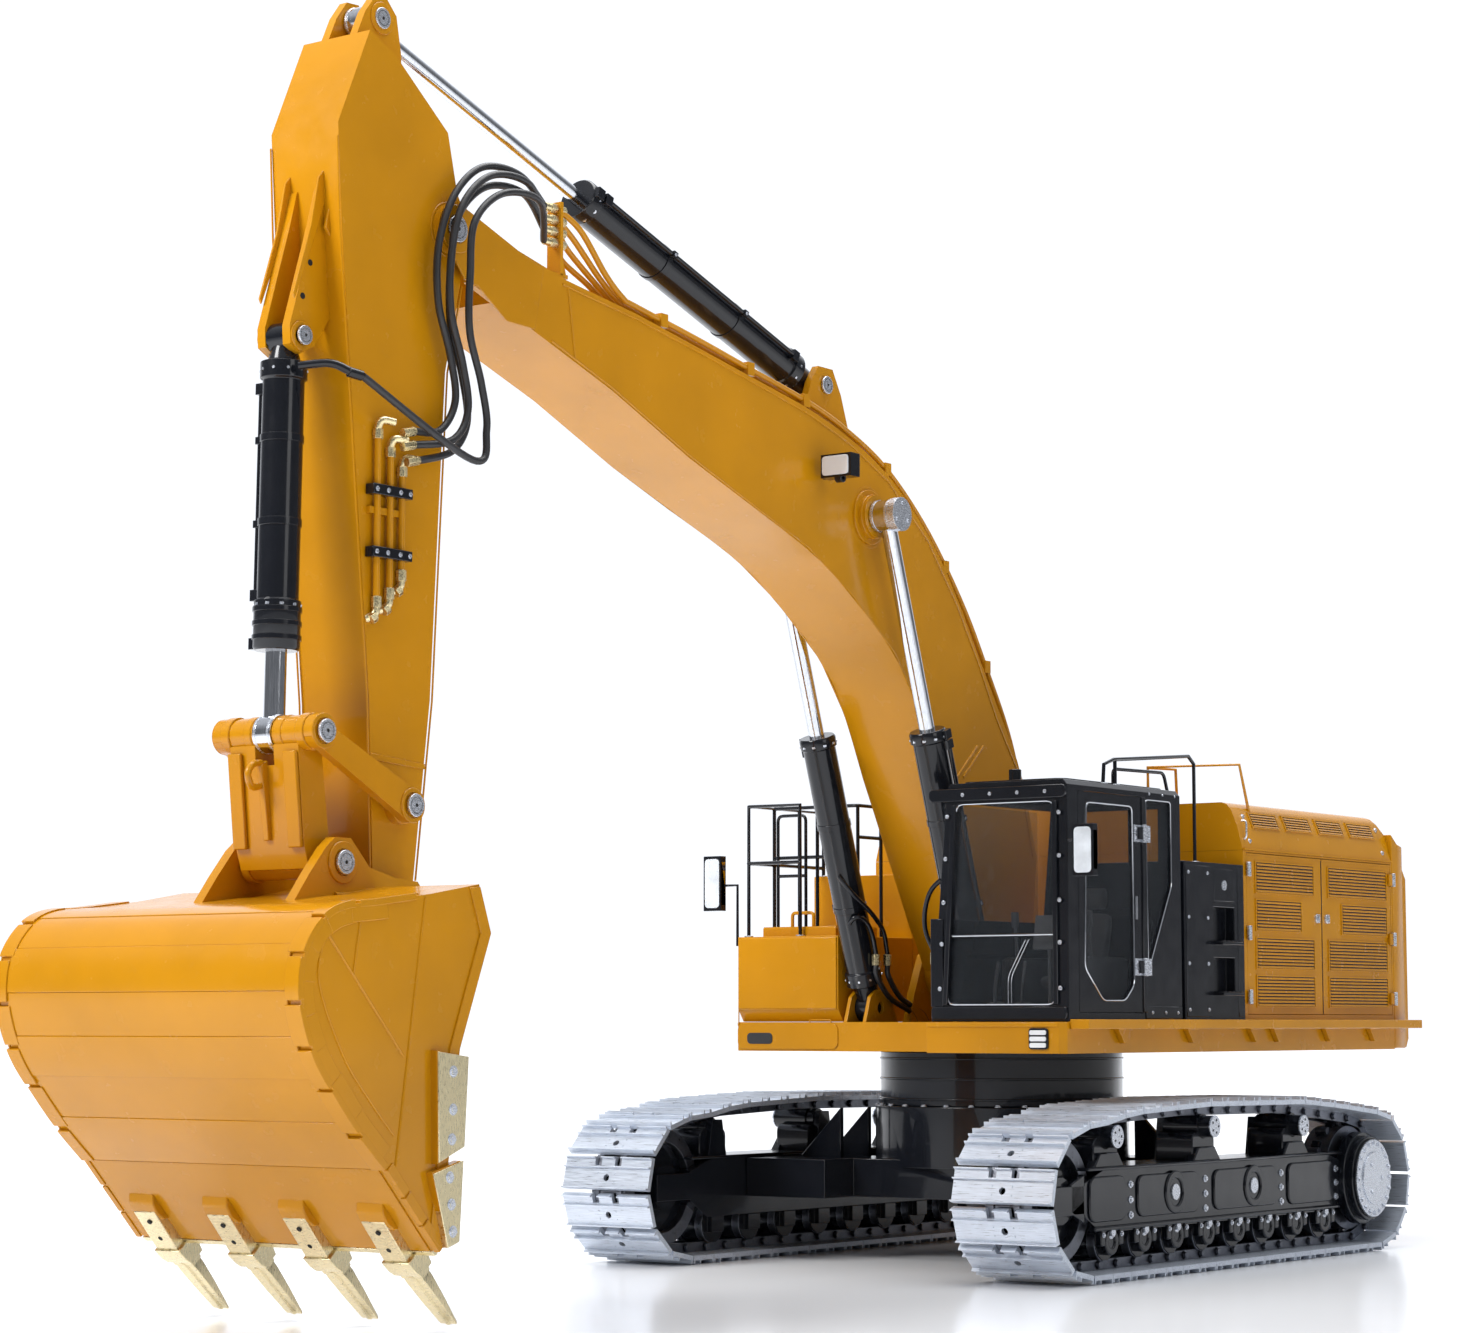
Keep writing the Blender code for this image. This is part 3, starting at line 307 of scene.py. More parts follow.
class Kit:
    """Closed shapes of one material on one body, gathered into one piece."""

    PLACE = {
        "X": lambda a, b, c: (c, a, b),
        "Y": lambda a, b, c: (a, c, b),
        "Z": lambda a, b, c: (a, b, c),
    }

    def __init__(self, name, body, look, bevel=0.0004):
        self.name = name
        self.body = body
        self.look = look
        self.bevel = bevel
        self.bm = bmesh.new()

    def skin(self, rings):
        """Closed rings of points joined one to the next, with a cap on each end."""
        loops = [[self.bm.verts.new(p) for p in ring] for ring in rings]
        self.bm.faces.new(loops[0])
        self.bm.faces.new(loops[-1])
        for first, second in zip(loops, loops[1:]):
            for i in range(len(first)):
                j = (i + 1) % len(first)
                self.bm.faces.new((first[i], first[j], second[j], second[i]))

    def prism(self, axis, outline, low, high):
        place = self.PLACE[axis]
        self.skin([[place(a, b, c) for a, b in outline] for c in (low, high)])

    def box(self, x, y, z):
        self.prism("Z", [(x[0], y[0]), (x[1], y[0]), (x[1], y[1]), (x[0], y[1])], z[0], z[1])

    def disc(self, axis, centre, radius, low, high, count=24):
        self.prism(axis, arc(centre, radius, 0, 360, count), low, high)

    def ring(self, axis, centre, outer, inner, low, high, count=32):
        place = self.PLACE[axis]
        rims = [(outer, low), (outer, high), (inner, high), (inner, low)]
        loops = [
            [self.bm.verts.new(place(a, b, c)) for a, b in arc(centre, r, 0, 360, count)] for r, c in rims
        ]
        for k in range(4):
            first, second = loops[k], loops[(k + 1) % 4]
            for i in range(count):
                j = (i + 1) % count
                self.bm.faces.new((first[i], first[j], second[j], second[i]))

    def tube(self, points, radii, count=12):
        """A round tube along the points; one radius, or one for each point."""
        path = [Vector(p) for p in points]
        if not hasattr(radii, "__len__"):
            radii = [radii] * len(path)
        side = None
        rings = []
        for i, place in enumerate(path):
            ahead = (path[min(i + 1, len(path) - 1)] - path[max(i - 1, 0)]).normalized()
            if side is None:
                side = ahead.orthogonal().normalized()
            side = (side - side.dot(ahead) * ahead).normalized()
            over = ahead.cross(side)
            turn = [2 * math.pi * k / count for k in range(count)]
            rings.append([place + radii[i] * (math.cos(a) * side + math.sin(a) * over) for a in turn])
        self.skin(rings)

    def rod(self, start, end, radius, count=20, end_radius=None):
        self.tube([start, end], [radius, radius if end_radius is None else end_radius], count)

    def slab(self, line, x, along, out):
        """A box whose sides follow a slanting line: along it, out from it, and across in x."""
        corners = [(along[0], out[0]), (along[1], out[0]), (along[1], out[1]), (along[0], out[1])]
        places = [on_line(0, *line, s, o) for s, o in corners]
        self.prism("X", [(p.y, p.z) for p in places], *x)

    def round_box(self, axis, a, b, c, radius):
        """A box with rounded corners in the plane across the axis."""
        corners = [(a[1], b[1], 0), (a[0], b[1], 90), (a[0], b[0], 180), (a[1], b[0], 270)]
        outline = []
        for u, v, start in corners:
            middle = (u - radius * (1 if u == a[1] else -1), v - radius * (1 if v == b[1] else -1))
            outline += arc(middle, radius, start, start + 90, 5)
        self.prism(axis, outline, *c)

    def bolt(self, at, normal, radius=0.0020, height=0.0014):
        """A hexagon head on a thin washer."""
        at, normal = Vector(at), Vector(normal).normalized()
        self.rod(at, at + normal * height * 0.25, radius * 1.35, 12)
        self.rod(at, at + normal * height, radius, 6, radius * 0.92)

    def done(self, shown=True):
        bmesh.ops.recalc_face_normals(self.bm, faces=self.bm.faces)
        self.bm.transform(Matrix.Translation((0, SLEW_Y, 0)))
        for edge in self.bm.edges:
            edge.smooth = edge.calc_face_angle(0.0) < math.radians(35)
        for face in self.bm.faces:
            face.smooth = True
        mesh = bpy.data.meshes.new(self.name)
        self.bm.to_mesh(mesh)
        self.bm.free()
        mesh.materials.append(self.look.material)
        piece = bpy.data.objects.new(self.name, mesh)
        bpy.context.scene.collection.objects.link(piece)
        if self.bevel:
            edges = piece.modifiers.new("edges", "BEVEL")
            edges.width = self.bevel
            edges.segments = 2
            edges.limit_method = "ANGLE"
            edges.angle_limit = math.radians(35)
        if shown:
            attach(piece, self.body)
        return piece


def arc(centre, radius, start, end, count):
    """Points round an arc in degrees; a full turn leaves out its last point."""
    steps = count if end - start == 360 else count - 1
    turn = [math.radians(start + (end - start) * i / steps) for i in range(count)]
    return [(centre[0] + radius * math.cos(a), centre[1] + radius * math.sin(a)) for a in turn]


def dress(node, look, bevel=0.0010):
    """A CAD node keeps its shape and gets rounded edges and a material."""
    piece = frame["nodes"][node]
    mesh = piece.data
    if "custom_normal" in mesh.attributes:
        mesh.attributes.remove(mesh.attributes["custom_normal"])
    for face in mesh.polygons:
        face.use_smooth = True
    mesh.materials.clear()
    mesh.materials.append(look.material)
    weld = piece.modifiers.new("weld", "WELD")
    weld.merge_threshold = 0.00002
    flat = piece.modifiers.new("flat", "DECIMATE")
    flat.decimate_type = "DISSOLVE"
    flat.angle_limit = math.radians(1.0)
    if bevel:
        edges = piece.modifiers.new("edges", "BEVEL")
        edges.width = bevel
        edges.segments = 2
        edges.limit_method = "ANGLE"
        edges.angle_limit = math.radians(32)
        edges.harden_normals = True
    return piece


# ---- hoses from the boom's manifold to the stick
HOSE_RADIUS = 0.0031
HOSE_ENDS = [
    ((-0.7600, 0.924), (-0.9370, 0.703), 0.0500, 0.0480),
    ((-0.7600, 0.914), (-0.9370, 0.692), 0.0572, 0.0480),
    ((-0.7600, 0.904), (-0.9320, 0.680), 0.0500, 0.0480),
    ((-0.7600, 0.894), (-1.0120, 0.735), 0.0644, 0.0600),
]
HOSE_ROUTE = [(-0.811, 0.938), (-0.858, 0.935), (-0.893, 0.905), (-0.912, 0.860)]
HOSE_ROUTE += [(-0.912, 0.813), (-0.897, 0.772), (-0.890, 0.735), (-0.908, 0.708)]
for index, (start, end, out, end_out) in enumerate(HOSE_ENDS):
    inset = 0.0075 * index
    route = [(BOOM_X + out, y + (0.4 if z > 0.9 else 1.0) * inset, z - inset) for y, z in HOSE_ROUTE]
    ends = (BOOM_X + 0.0350, *start), (BOOM_X + end_out, *end)
    path = smooth_path([ends[0], *route, ends[1]], 117)
    name = "hose_%d" % (index + 1)
    kit = Kit("rubber_" + name, "stick", RUBBER, 0.0)
    kit.tube(path, HOSE_RADIUS, 16)
    piece = kit.done(shown=False)
    route = [p + Vector((0, SLEW_Y, 0)) for p in path]
    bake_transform(piece)
    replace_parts(piece, name)

# ---- CAD nodes that show as they are
for node in ("boom", "stick", "h_link", "bucket_link_l", "bucket_link_r", "deck", "counterweight"):
    dress(node, YELLOW, 0.0012)
for node in ("bucket", "engine_house", "hood", "tool_box", "tank", "walkway"):
    dress(node, YELLOW, 0.0008)
for node in ("engine_door_front", "engine_door_rear"):
    dress(node, YELLOW, 0.0005)
for node in ("car_body", "track_frame_l", "track_frame_r", "side_compartment", "cab"):
    dress(node, BLACK, 0.0010)
for node in ("cab_door", "boom_lamp", "mirror_l", "mirror_r", "rail_right", "rail_roof"):
    dress(node, BLACK, 0.0005)
for node in ("idler_l", "idler_r"):
    dress(node, BLACK, 0.0008)
dress("pump_unit", BLACK)
dress("valve_block", BRASS)
for node in ("console", "lever_l", "lever_r"):
    dress(node, PLASTIC, 0.0006)
dress("slew_ring", BLACK)
for node in frame["nodes"]:
    if node.startswith(("sprocket", "carrier")):
        dress(node, BLACK, 0.0006)

# ---- hydraulic cylinders: round tubes, gland, clamp bands, port blocks and hard pipes
LIFT_X = 0.0645


def ram(node, x, line, start, length, radius, gland, foot, pipe_side, pipe_out):
    """A cylinder's tube from its foot eye to its mouth, with the pipe that feeds its far end."""
    foot_half, foot_radius = foot
    mouth = length - gland
    steps = [(start, 0.82), (start + 0.002, 1.13), (start + 0.015, 1.13), (start + 0.0165, 1.0)]
    steps += [(mouth, 1.0), (mouth + 0.001, 1.12), (length - 0.002, 1.12), (length, 1.04)]
    kit = Kit(node + "_tube", node, BLACK, 0.0003)
    kit.tube([on_line(x, *line, s) for s, _ in steps], [radius * r for _, r in steps], 40)
    kit.rod(on_line(x, *line, 0.004), on_line(x, *line, start + 0.001), foot_half, 24, radius * 0.8)
    kit.disc("X", line[0], foot_radius, x - foot_half, x + foot_half, 32)
    side_x = x + pipe_side * (radius + 0.0030)
    pipe_ends = (start + 0.022, mouth - 0.004)
    for s in (*pipe_ends, length - 0.006):
        reach = sorted((x + pipe_side * radius * 0.6, x + pipe_side * (radius + 0.0052)))
        kit.slab(line, reach, (s - 0.0045, s + 0.0045), (pipe_out - 0.005, pipe_out + 0.005))
    pipe = [on_line(side_x, *line, s, pipe_out) for s in pipe_ends]
    kit.rod(*pipe, 0.0022, 14)
    shares = (0.33, 0.68)
    for share in shares:
        s = start + (mouth - start) * share
        kit.rod(on_line(x, *line, s - 0.003), on_line(x, *line, s + 0.003), radius * 1.05, 40)
        kit.slab(
            line,
            sorted((x, side_x + pipe_side * 0.003)),
            (s - 0.003, s + 0.003),
            (pipe_out - 0.003, pipe_out + 0.003),
        )
    if gland > 0.03:
        for i in range(3):
            s = mouth + 0.008 + 0.011 * i
            kit.rod(on_line(x, *line, s - 0.002), on_line(x, *line, s + 0.002), radius * 1.18, 40)
    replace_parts(kit.done(), node)
    kit = Kit(node + "_bolts", node, STEEL, 0.0)
    _, (ny, nz) = unit(*line)
    for k in range(10):
        turn = math.radians(36 * k)
        out = Vector((math.cos(turn), math.sin(turn) * ny, math.sin(turn) * nz))
        for s in (mouth + 0.0045, start + 0.0085):
            kit.bolt(on_line(x, *line, s) + out * (radius * 1.10), out, 0.0013, 0.0010)
    for share in shares:
        s = start + (mouth - start) * share
        kit.bolt(on_line(side_x + pipe_side * 0.003, *line, s, pipe_out), (pipe_side, 0, 0), 0.0013, 0.0010)
    kit.done()


def ram_rod(node, x, line, start, radius, eye_half, eye_radius, cap=0):
    """A chromed rod with its eye; cap is the side of a pin's end plate, or none."""
    length = math.dist(*line)
    kit = Kit(node + "_shaft", node, CHROME, 0.0004)
    kit.rod(on_line(x, *line, start), on_line(x, *line, length - eye_radius * 0.8), radius, 32)
    kit.disc("X", line[1], eye_radius, x - eye_half, x + eye_half, 40)
    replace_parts(kit.done(), node)
    kit = Kit(node + "_eye_collar", node, STEEL, 0.0004)
    for side in (-1, 1):
        low, high = across(side, eye_half * 0.62, eye_half * 0.86, x)
        kit.ring("X", line[1], eye_radius * 1.03, eye_radius * 0.9, low, high, 40)
    if cap:
        low, high = across(cap, eye_half - 0.0005, eye_half + 0.0075, x)
        kit.disc("X", line[1], 0.0162, low, high, 48)
        for k in range(3):
            spot = around(line[1], 0.0108, 90 + 120 * k)
            kit.bolt((x + cap * (eye_half + 0.0075), *spot), (cap, 0, 0), 0.0016, 0.0009)
    kit.done()


LIFT_LINE = (LIFT_FOOT, LIFT_EYE)
CROWD_LINE = (CROWD_BASE, CROWD_EYE)
CURL_LINE = (CURL_BASE, LINK_TOP)
for side, sign in SIDES:
    x = BOOM_X + sign * LIFT_X
    ram("lift_cylinder_" + side, x, LIFT_LINE, 0.024, 0.281, 0.0162, 0.012, (0.0090, 0.0135), sign, -0.004)
    ram_rod("lift_rod_" + side, x, LIFT_LINE, 0.225, 0.0077, 0.0105, 0.0150, sign)
ram("stick_cylinder", BOOM_X, CROWD_LINE, 0.032, 0.372, 0.0172, 0.014, (0.0130, 0.0150), 1, -0.004)
ram_rod("stick_rod", BOOM_X, CROWD_LINE, 0.310, 0.0068, 0.0110, 0.0130)
ram("bucket_cylinder", BOOM_X, CURL_LINE, 0.018, 0.248, 0.0165, 0.040, (0.0090, 0.0125), -1, -0.004)
ram_rod("bucket_rod", BOOM_X, CURL_LINE, 0.090, 0.0085, 0.0095, 0.0150)

# ---- end plates of the linkage pins, each with its grease hole; the hole and a fine ring round it are painted shade
PIN_CAPS = [
    ("stick", LINK_STICK, 0.0548, 0.0092),
    ("stick", BUCKET_PIN, 0.0558, 0.0105),
    ("stick", BOOM_TIP, 0.0440, 0.0112),
    ("stick", CROWD_EYE, 0.0193, 0.0088),
    ("stick", CURL_BASE, 0.0204, 0.0078),
    ("h_link", LINK_TOP, 0.0548, 0.0092),
    ("bucket", EAR_PIN, 0.0553, 0.0095),
    ("boom", CROWD_BASE, 0.0213, 0.0085),
    ("boom", BOOM_FOOT, 0.0548, 0.0130),
]
for index, (body, centre, out, radius) in enumerate(PIN_CAPS):
    plates = Kit("pin_caps_%d" % index, body, STEEL, 0.0005)
    # Grease hole and fine ring as thin near-black shapes: painted shade.
    holes = Kit("pin_hole_shade_%d" % index, body, HOLE, 0.0)
    for side in (-1, 1):
        plates.disc("X", centre, radius, *beside(side, out, out + 0.0024), 40)
        near, far = beside(side, out + 0.0023, out + 0.0025)
        holes.disc("X", centre, radius * 0.16, near, far, 16)
        holes.ring("X", centre, radius * 0.72, radius * 0.68, near, far, 40)
    plates.done()
    holes.done()

# ---- bucket: rounded back in wear strips, side bands, welds, cutters and teeth
BACK = mm(
    [(-1084, 127), (-1114, 154), (-1139, 181), (-1158, 204), (-1171, 229), (-1177, 255), (-1173, 282)]
    + [(-1157, 304), (-1134, 316), (-1093, 321), (-1037, 328)]
)
BACK = [(p.x, p.y) for p in smooth_path([(y, z, 0) for y, z in BACK], 81)]
BUCKET_HALF = 0.158
LIP_START = (-1084, 127)
LIP_ALONG = (0.684, -0.730)
LIP_OUT = (-0.730, -0.684)


def by_lip(points):
    """(y, z) of points given in millimetres along the lip plate and out from it."""
    (y, z), (ay, az), (oy, oz) = LIP_START, LIP_ALONG, LIP_OUT
    return mm([(y + ay * t + oy * n, z + az * t + oz * n) for t, n in points])


def curved_plate(kit, first, last, low, high, x):
    """A plate that follows the back between two of its points, from low to high above it."""
    run = BACK[first : last + 1]
    kit.prism("X", moved_out(run, high) + moved_out(run, low)[::-1], *x)


STRIPS = 8
strips = Kit("bucket_strips", "bucket", YELLOW, 0.0005)
ends = Kit("bucket_strip_ends", "bucket", YELLOW, 0.0005)
for k in range(STRIPS):
    first, last = 10 * k, 10 * k + 10
    edge = 0.0012 if k % 2 else 0.0018
    curved_plate(
        strips,
        first,
        last,
        -0.0020,
        edge,
        (BOOM_X - BUCKET_HALF + 0.012, BOOM_X + BUCKET_HALF - 0.012),
    )
    for side in (-1, 1):
        low, high = beside(side, BUCKET_HALF - 0.0125 - 0.002 * (k % 2), BUCKET_HALF + 0.0012)
        curved_plate(ends, max(first - 2, 0), last - 3, -0.0030, edge + 0.0012, (low, high))
strips.done()
lip = Kit("bucket_lip", "bucket", YELLOW, 0.0004)
for side in (-1, 1):
    low, high = beside(side, BUCKET_HALF - 0.004, BUCKET_HALF + 0.0014)
    for t in range(3):
        outline = by_lip([(2 + 29 * t, 1.0), (29 + 29 * t, 1.0), (29 + 29 * t, -7.0), (2 + 29 * t, -7.0)])
        lip.prism("X", outline, low, high)
lip.prism("X", by_lip([(1, 0), (86, 0), (86, 1.2), (1, 1.2)]), BOOM_X - 0.150, BOOM_X + 0.150)
lip.done()
for side in (-1, 1):
    run = BACK[2:76]
    for k in range(9):
        part = run[8 * k : 8 * k + 9 - (k == 8)]
        outline = moved_out(part, 0.0002) + moved_out(part, -0.0135 - 0.0008 * (k % 2))[::-1]
        ends.prism("X", outline, *beside(side, BUCKET_HALF - 0.001, BUCKET_HALF + 0.0011))
ends.done()
welds = Kit("bucket_welds", "bucket", YELLOW, 0.0)
WELD_LINES = [
    [(-1043.8, 324.7), (-1074, 126.6)],
    [(-1154.9, 302.1), (-1066.5, 208)],
    [(-1113.8, 311.7), (-1121.6, 268.1)],
    [(-1150, 300), (-1158, 262), (-1131, 208), (-1100, 173), (-1076, 150)],
]
for side in (-1, 1):
    for line in WELD_LINES:
        path = [(BOOM_X + side * BUCKET_HALF, y, z) for y, z in mm(line)]
        welds.tube(smooth_path(path, 24) if len(path) > 2 else path, 0.0011, 8)
    for z_ear, y_ear in ((0.3215, -1.060), (0.3300, -1.010)):
        welds.rod(
            (BOOM_X + side * 0.0545, y_ear - 0.02, z_ear),
            (BOOM_X + side * 0.0545, y_ear + 0.03, z_ear + 0.002),
            0.0018,
            8,
        )
welds.done()
flange = Kit("bucket_side_plates", "bucket", YELLOW, 0.0006)
for side in (-1, 1):
    outline = mm([
        (-1025, 66), (-1004, 213), (-969, 300), (-982, 335), (-994, 334), (-981, 300), (-1015, 214),
        (-1036, 76),
    ])
    flange.prism("X", outline, *beside(side, BUCKET_HALF - 0.001, BUCKET_HALF + 0.0016))
flange.done()

cutters = Kit("bucket_side_cutters", "bucket", TOOTH, 0.0005)
bolts = Kit("bucket_cutter_bolts", "bucket", STEEL, 0.0)
CUTTERS = (
    (
        mm([(-1035, 211), (-1000, 207), (-1004, 140), (-1033, 129)]),
        mm([(-1018, 196), (-1018, 168), (-1019, 146)]),
    ),
    (
        mm([(-1039, 121), (-1005, 130), (-1009, 70), (-1022, 66)]),
        mm([(-1021, 118), (-1019, 98), (-1017, 78)]),
    ),
)
for outline, spots in CUTTERS:
    for side in (-1, 1):
        cutters.prism("X", outline, *beside(side, BUCKET_HALF + 0.0002, BUCKET_HALF + 0.0068))
        for spot in spots:
            bolts.bolt((BOOM_X + side * (BUCKET_HALF + 0.0066), *spot), (side, 0, 0), 0.0034, 0.0022)
cutters.done()
bolts.done()

TOOTH_X = (-0.120, -0.040, 0.040, 0.120)
adapters = Kit("bucket_adapters", "bucket", TOOTH, 0.0006)
spades = Kit("bucket_teeth_spades", "bucket", TOOTH, 0.0005)
hole_shade = Kit("bucket_adapter_holes", "bucket", HOLE, 0.0)
humps = Kit("bucket_tooth_humps", "bucket", YELLOW, 0.0012)
HUMP = by_lip([(36, 0.5), (42, 6.5), (52, 8), (60, 6), (64, 0.5)])
ADAPTER = by_lip([(48, 0.8), (50, 8.5), (92, 10), (93, -9), (88, -8), (87.2, 0.8)])
COLLAR = by_lip([(90, 11.5), (101, 10), (108, 7.5), (108, -7.5), (101, -9), (90, -10.5)])
for middle in TOOTH_X:
    x = BOOM_X + middle
    humps.prism("X", HUMP, x - 0.0135, x + 0.0135)
    adapters.prism("X", ADAPTER, x - 0.0115, x + 0.0115)
    adapters.prism("X", COLLAR, x - 0.0138, x + 0.0138)
    adapters.prism("X", by_lip([(104, 6.2), (113, 5.5), (113, -5.5), (104, -6.2)]), x - 0.0105, x + 0.0105)
    rings = []
    for t, half, thick in (
        (110, 8.8, 5.2), (118, 10.2, 4.6), (140, 9.6, 3.2), (166, 8.0, 1.2), (168, 7.6, 0.6),
    ):
        middle_out = -0.2 * (t - 110) * 0.1
        across_tooth = [
            (-half, thick), (-half * 0.3, thick), (-half * 0.22, thick + 1.1),
            (half * 0.22, thick + 1.1),
        ]
        across_tooth += [(half * 0.3, thick), (half, thick), (half, -thick), (-half, -thick)]
        ring = []
        for u, n in across_tooth:
            ((y, z),) = by_lip([(t, n + middle_out)])
            ring.append((x + u * 0.001, y, z))
        rings.append(ring)
    spades.skin(rings)
    # Short near-black plugs in the adapters' tops: painted shade of their holes.
    for t in (60, 78):
        spots = by_lip([(t, 8.0), (t, 9.7)])
        hole_shade.rod((x, *spots[0]), (x, *spots[1]), 0.0021, 20)
piece = adapters.done()
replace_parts(piece, "bucket_teeth")
for kit in (spades, hole_shade, humps):
    kit.done()
blade = Kit("bucket_cutting_edge", "bucket", TOOTH, 0.0004)
blade.prism("X", by_lip([(86.4, 1.6), (91.5, 0.6), (92.5, -2.5), (86.4, -5)]), BOOM_X - 0.152, BOOM_X + 0.152)
blade.done()
ears = Kit("bucket_ear_collars", "bucket", YELLOW, 0.0008)
for side in (-1, 1):
    for centre, radius in ((EAR_PIN, 0.0165), (BUCKET_PIN, 0.0165)):
        low, high = beside(side, 0.0530, 0.0550)
        ears.ring("X", centre, radius, radius * 0.62, low, high, 40)
ears.done()

# ---- linkage between the bucket rod and the bucket
link = Kit("h_link_trim", "h_link", YELLOW, 0.0008)
for side in (-1, 1):
    outline = mm([(-1057.5, 440), (-1049.5, 366), (-1046, 366), (-1054, 440)])
    link.prism("X", outline, *beside(side, 0.0225, 0.0358))
    link.disc("X", LINK_TOP, 0.0148, *beside(side, 0.0350, 0.0436), 40)
    link.disc("X", LINK_TOP, 0.0142, *beside(side, 0.0120, 0.0200), 40)
    link.ring("X", EAR_PIN, 0.0140, 0.0110, *beside(side, 0.0340, 0.0425), 40)
rib = mm([(-1052, 434), (-1059, 430), (-1057, 416), (-1050, 372), (-1046, 372)])
link.prism("X", rib, BOOM_X - 0.0028, BOOM_X + 0.0028)
hook = [(BOOM_X, y, z) for y, z in mm([(-1056, 432), (-1066, 430), (-1071, 422), (-1066, 413), (-1057, 414)])]
link.tube(smooth_path(hook, 20), 0.0027, 12)
link.done()
for name, side in (("bucket_link_l", 1), ("bucket_link_r", -1)):
    bosses = Kit(name + "_bosses", "bucket_links", YELLOW, 0.0006)
    for centre in (LINK_TOP, LINK_STICK):
        bosses.ring("X", centre, 0.0140, 0.0100, *beside(side, 0.0520, 0.0536), 40)
    bosses.done()

# ---- stick: doublers, weld seams, pipes and their clamps
STICK_HALF = 0.0362
stick = Kit("stick_plates", "stick", YELLOW, 0.0005)
seams = Kit("stick_seams", "stick", YELLOW, 0.0)
STICK_FRONT = mm([(-1016, 930), (-1012, 856), (-1000, 745), (-974, 485), (-968, 350)])
STICK_BACK = mm([(-920, 345), (-902, 490), (-887, 760), (-870, 835)])
for side in (-1, 1):
    x = BOOM_X + side * STICK_HALF
    for run, inward in ((STICK_FRONT, -0.0026), (STICK_BACK, 0.0026)):
        path = [(x, y, z) for y, z in moved_out(run, inward * (1 if run is STICK_FRONT else -1))]
        seams.tube(path, 0.0008, 6)
    band = mm([(-973, 443.5), (-908, 438.5), (-908, 434), (-973, 438)])
    stick.prism("X", band, *beside(side, STICK_HALF - 0.001, STICK_HALF + 0.0009))
    for centre, radius in ((BOOM_TIP, 0.0235), (BUCKET_PIN, 0.0185), (LINK_STICK, 0.0145)):
        reach = 0.0440 if centre is not BOOM_TIP else STICK_HALF + 0.0004
        stick.ring("X", centre, radius, radius * 0.72, *beside(side, STICK_HALF - 0.001, reach), 48)
    stick.ring("X", CROWD_EYE, 0.0135, 0.0085, *beside(side, 0.0190, 0.0206), 40)
    stick.ring("X", CURL_BASE, 0.0120, 0.0075, *beside(side, 0.0170, 0.0188), 40)
    rib = mm([(-1001, 902), (-1008, 896), (-1017, 858), (-1010, 850), (-1006, 858)])
    stick.prism("X", rib, *beside(side, 0.0205, 0.0235))
    ladder = mm([
        (-1015, 905), (-1021, 898), (-1029, 858), (-1048, 800), (-1046, 796), (-1024, 850), (-1013, 880),
    ])
    stick.prism("X", ladder, *beside(side, 0.0170, 0.0190))
stick.done()
seams.done()
# Near-black discs on the ladder ears: painted shade of their holes.
ear_holes = Kit("stick_ear_holes", "stick", HOLE, 0.0)
for side in (-1, 1):
    for y, z in mm([(-1036, 800), (-1028, 828)]):
        ear_holes.disc("X", (y, z), 0.0026, *beside(side, 0.0172, 0.0178), 20)
ear_holes.done()

PIPE_X = 0.0405
PIPES = ((-0.972, 0.703, 0.560), (-0.957, 0.690, 0.568), (-0.943, 0.676, 0.584))
HOSE_FEET = ((-0.9370, 0.703), (-0.9370, 0.692), (-0.9320, 0.680))
tubes = Kit("stick_hard_pipes", "stick", YELLOW, 0.0)
fittings = Kit("stick_pipe_fittings", "stick", BRASS, 0.0003)
clamps = Kit("stick_pipe_clamps", "stick", BLACK, 0.0006)
screws = Kit("stick_clamp_bolts", "stick", STEEL, 0.0)
for y, top, low in PIPES:
    x = BOOM_X + PIPE_X
    tubes.rod((x, y, low), (x, y, top - 0.004), 0.0028, 16)
    fittings.rod((x, y, top - 0.010), (x, y, top - 0.002), 0.0043, 6)
    fittings.rod((x, y, low - 0.002), (x, y, low + 0.007), 0.0043, 6)
    fittings.tube(
        bent([(x, y, low), (x, y, low - 0.008), (x - 0.006, y - 0.006, low - 0.011)], 0.005),
        0.0034,
        12,
    )
    fittings.rod((x, y - 0.001, low - 0.009), (x - 0.001, y - 0.005, low - 0.012), 0.0044, 6)
    fittings.tube(
        bent(
            [(x, y, top - 0.002), (x + 0.002, y, top + 0.006), (BOOM_X + 0.048, y + 0.012, top + 0.004)],
            0.006,
        ),
        0.0032,
        12,
    )
for y, z in HOSE_FEET:
    x = BOOM_X + 0.048
    fittings.rod((x, y - 0.0004, z), (x - 0.001, y - 0.013, z - 0.003), 0.0040, 6)
    fittings.rod((x, y - 0.0003, z), (x, y - 0.004, z), 0.0035, 16)
for z in (0.602, 0.652):
    clamps.box((BOOM_X + 0.0366, BOOM_X + 0.0460), (-0.9815, -0.9355), (z - 0.0042, z + 0.0042))
    for y in (-0.9775, -0.9645, -0.9500, -0.9385):
        screws.bolt((BOOM_X + 0.0459, y, z), (1, 0, 0), 0.0016, 0.0011)
tubes.box((BOOM_X + 0.0362, BOOM_X + 0.0400), (-0.980, -0.937), (0.6330, 0.6385))
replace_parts(tubes.done(), "stick_pipes")
for kit in (fittings, clamps, screws):
    kit.done()

# ---- the fitting where the bucket cylinder's hose ends, and its black pipe
feed = Kit("bucket_cylinder_feed", "stick", BLACK, 0.0004)
end = Vector((BOOM_X + 0.0600, -1.0120, 0.735))
feed.rod(end + Vector((0, -0.0004, 0)), end + Vector((-0.004, -0.012, 0.002)), 0.0042, 16)
feed.tube(
    bent(
        [
            end + Vector((-0.003, -0.010, 0.002)),
            (BOOM_X + 0.048, -1.034, 0.744),
            (BOOM_X + 0.024, -1.046, 0.742),
        ],
        0.008,
    ),
    0.0034,
    14,
)
feed.done()

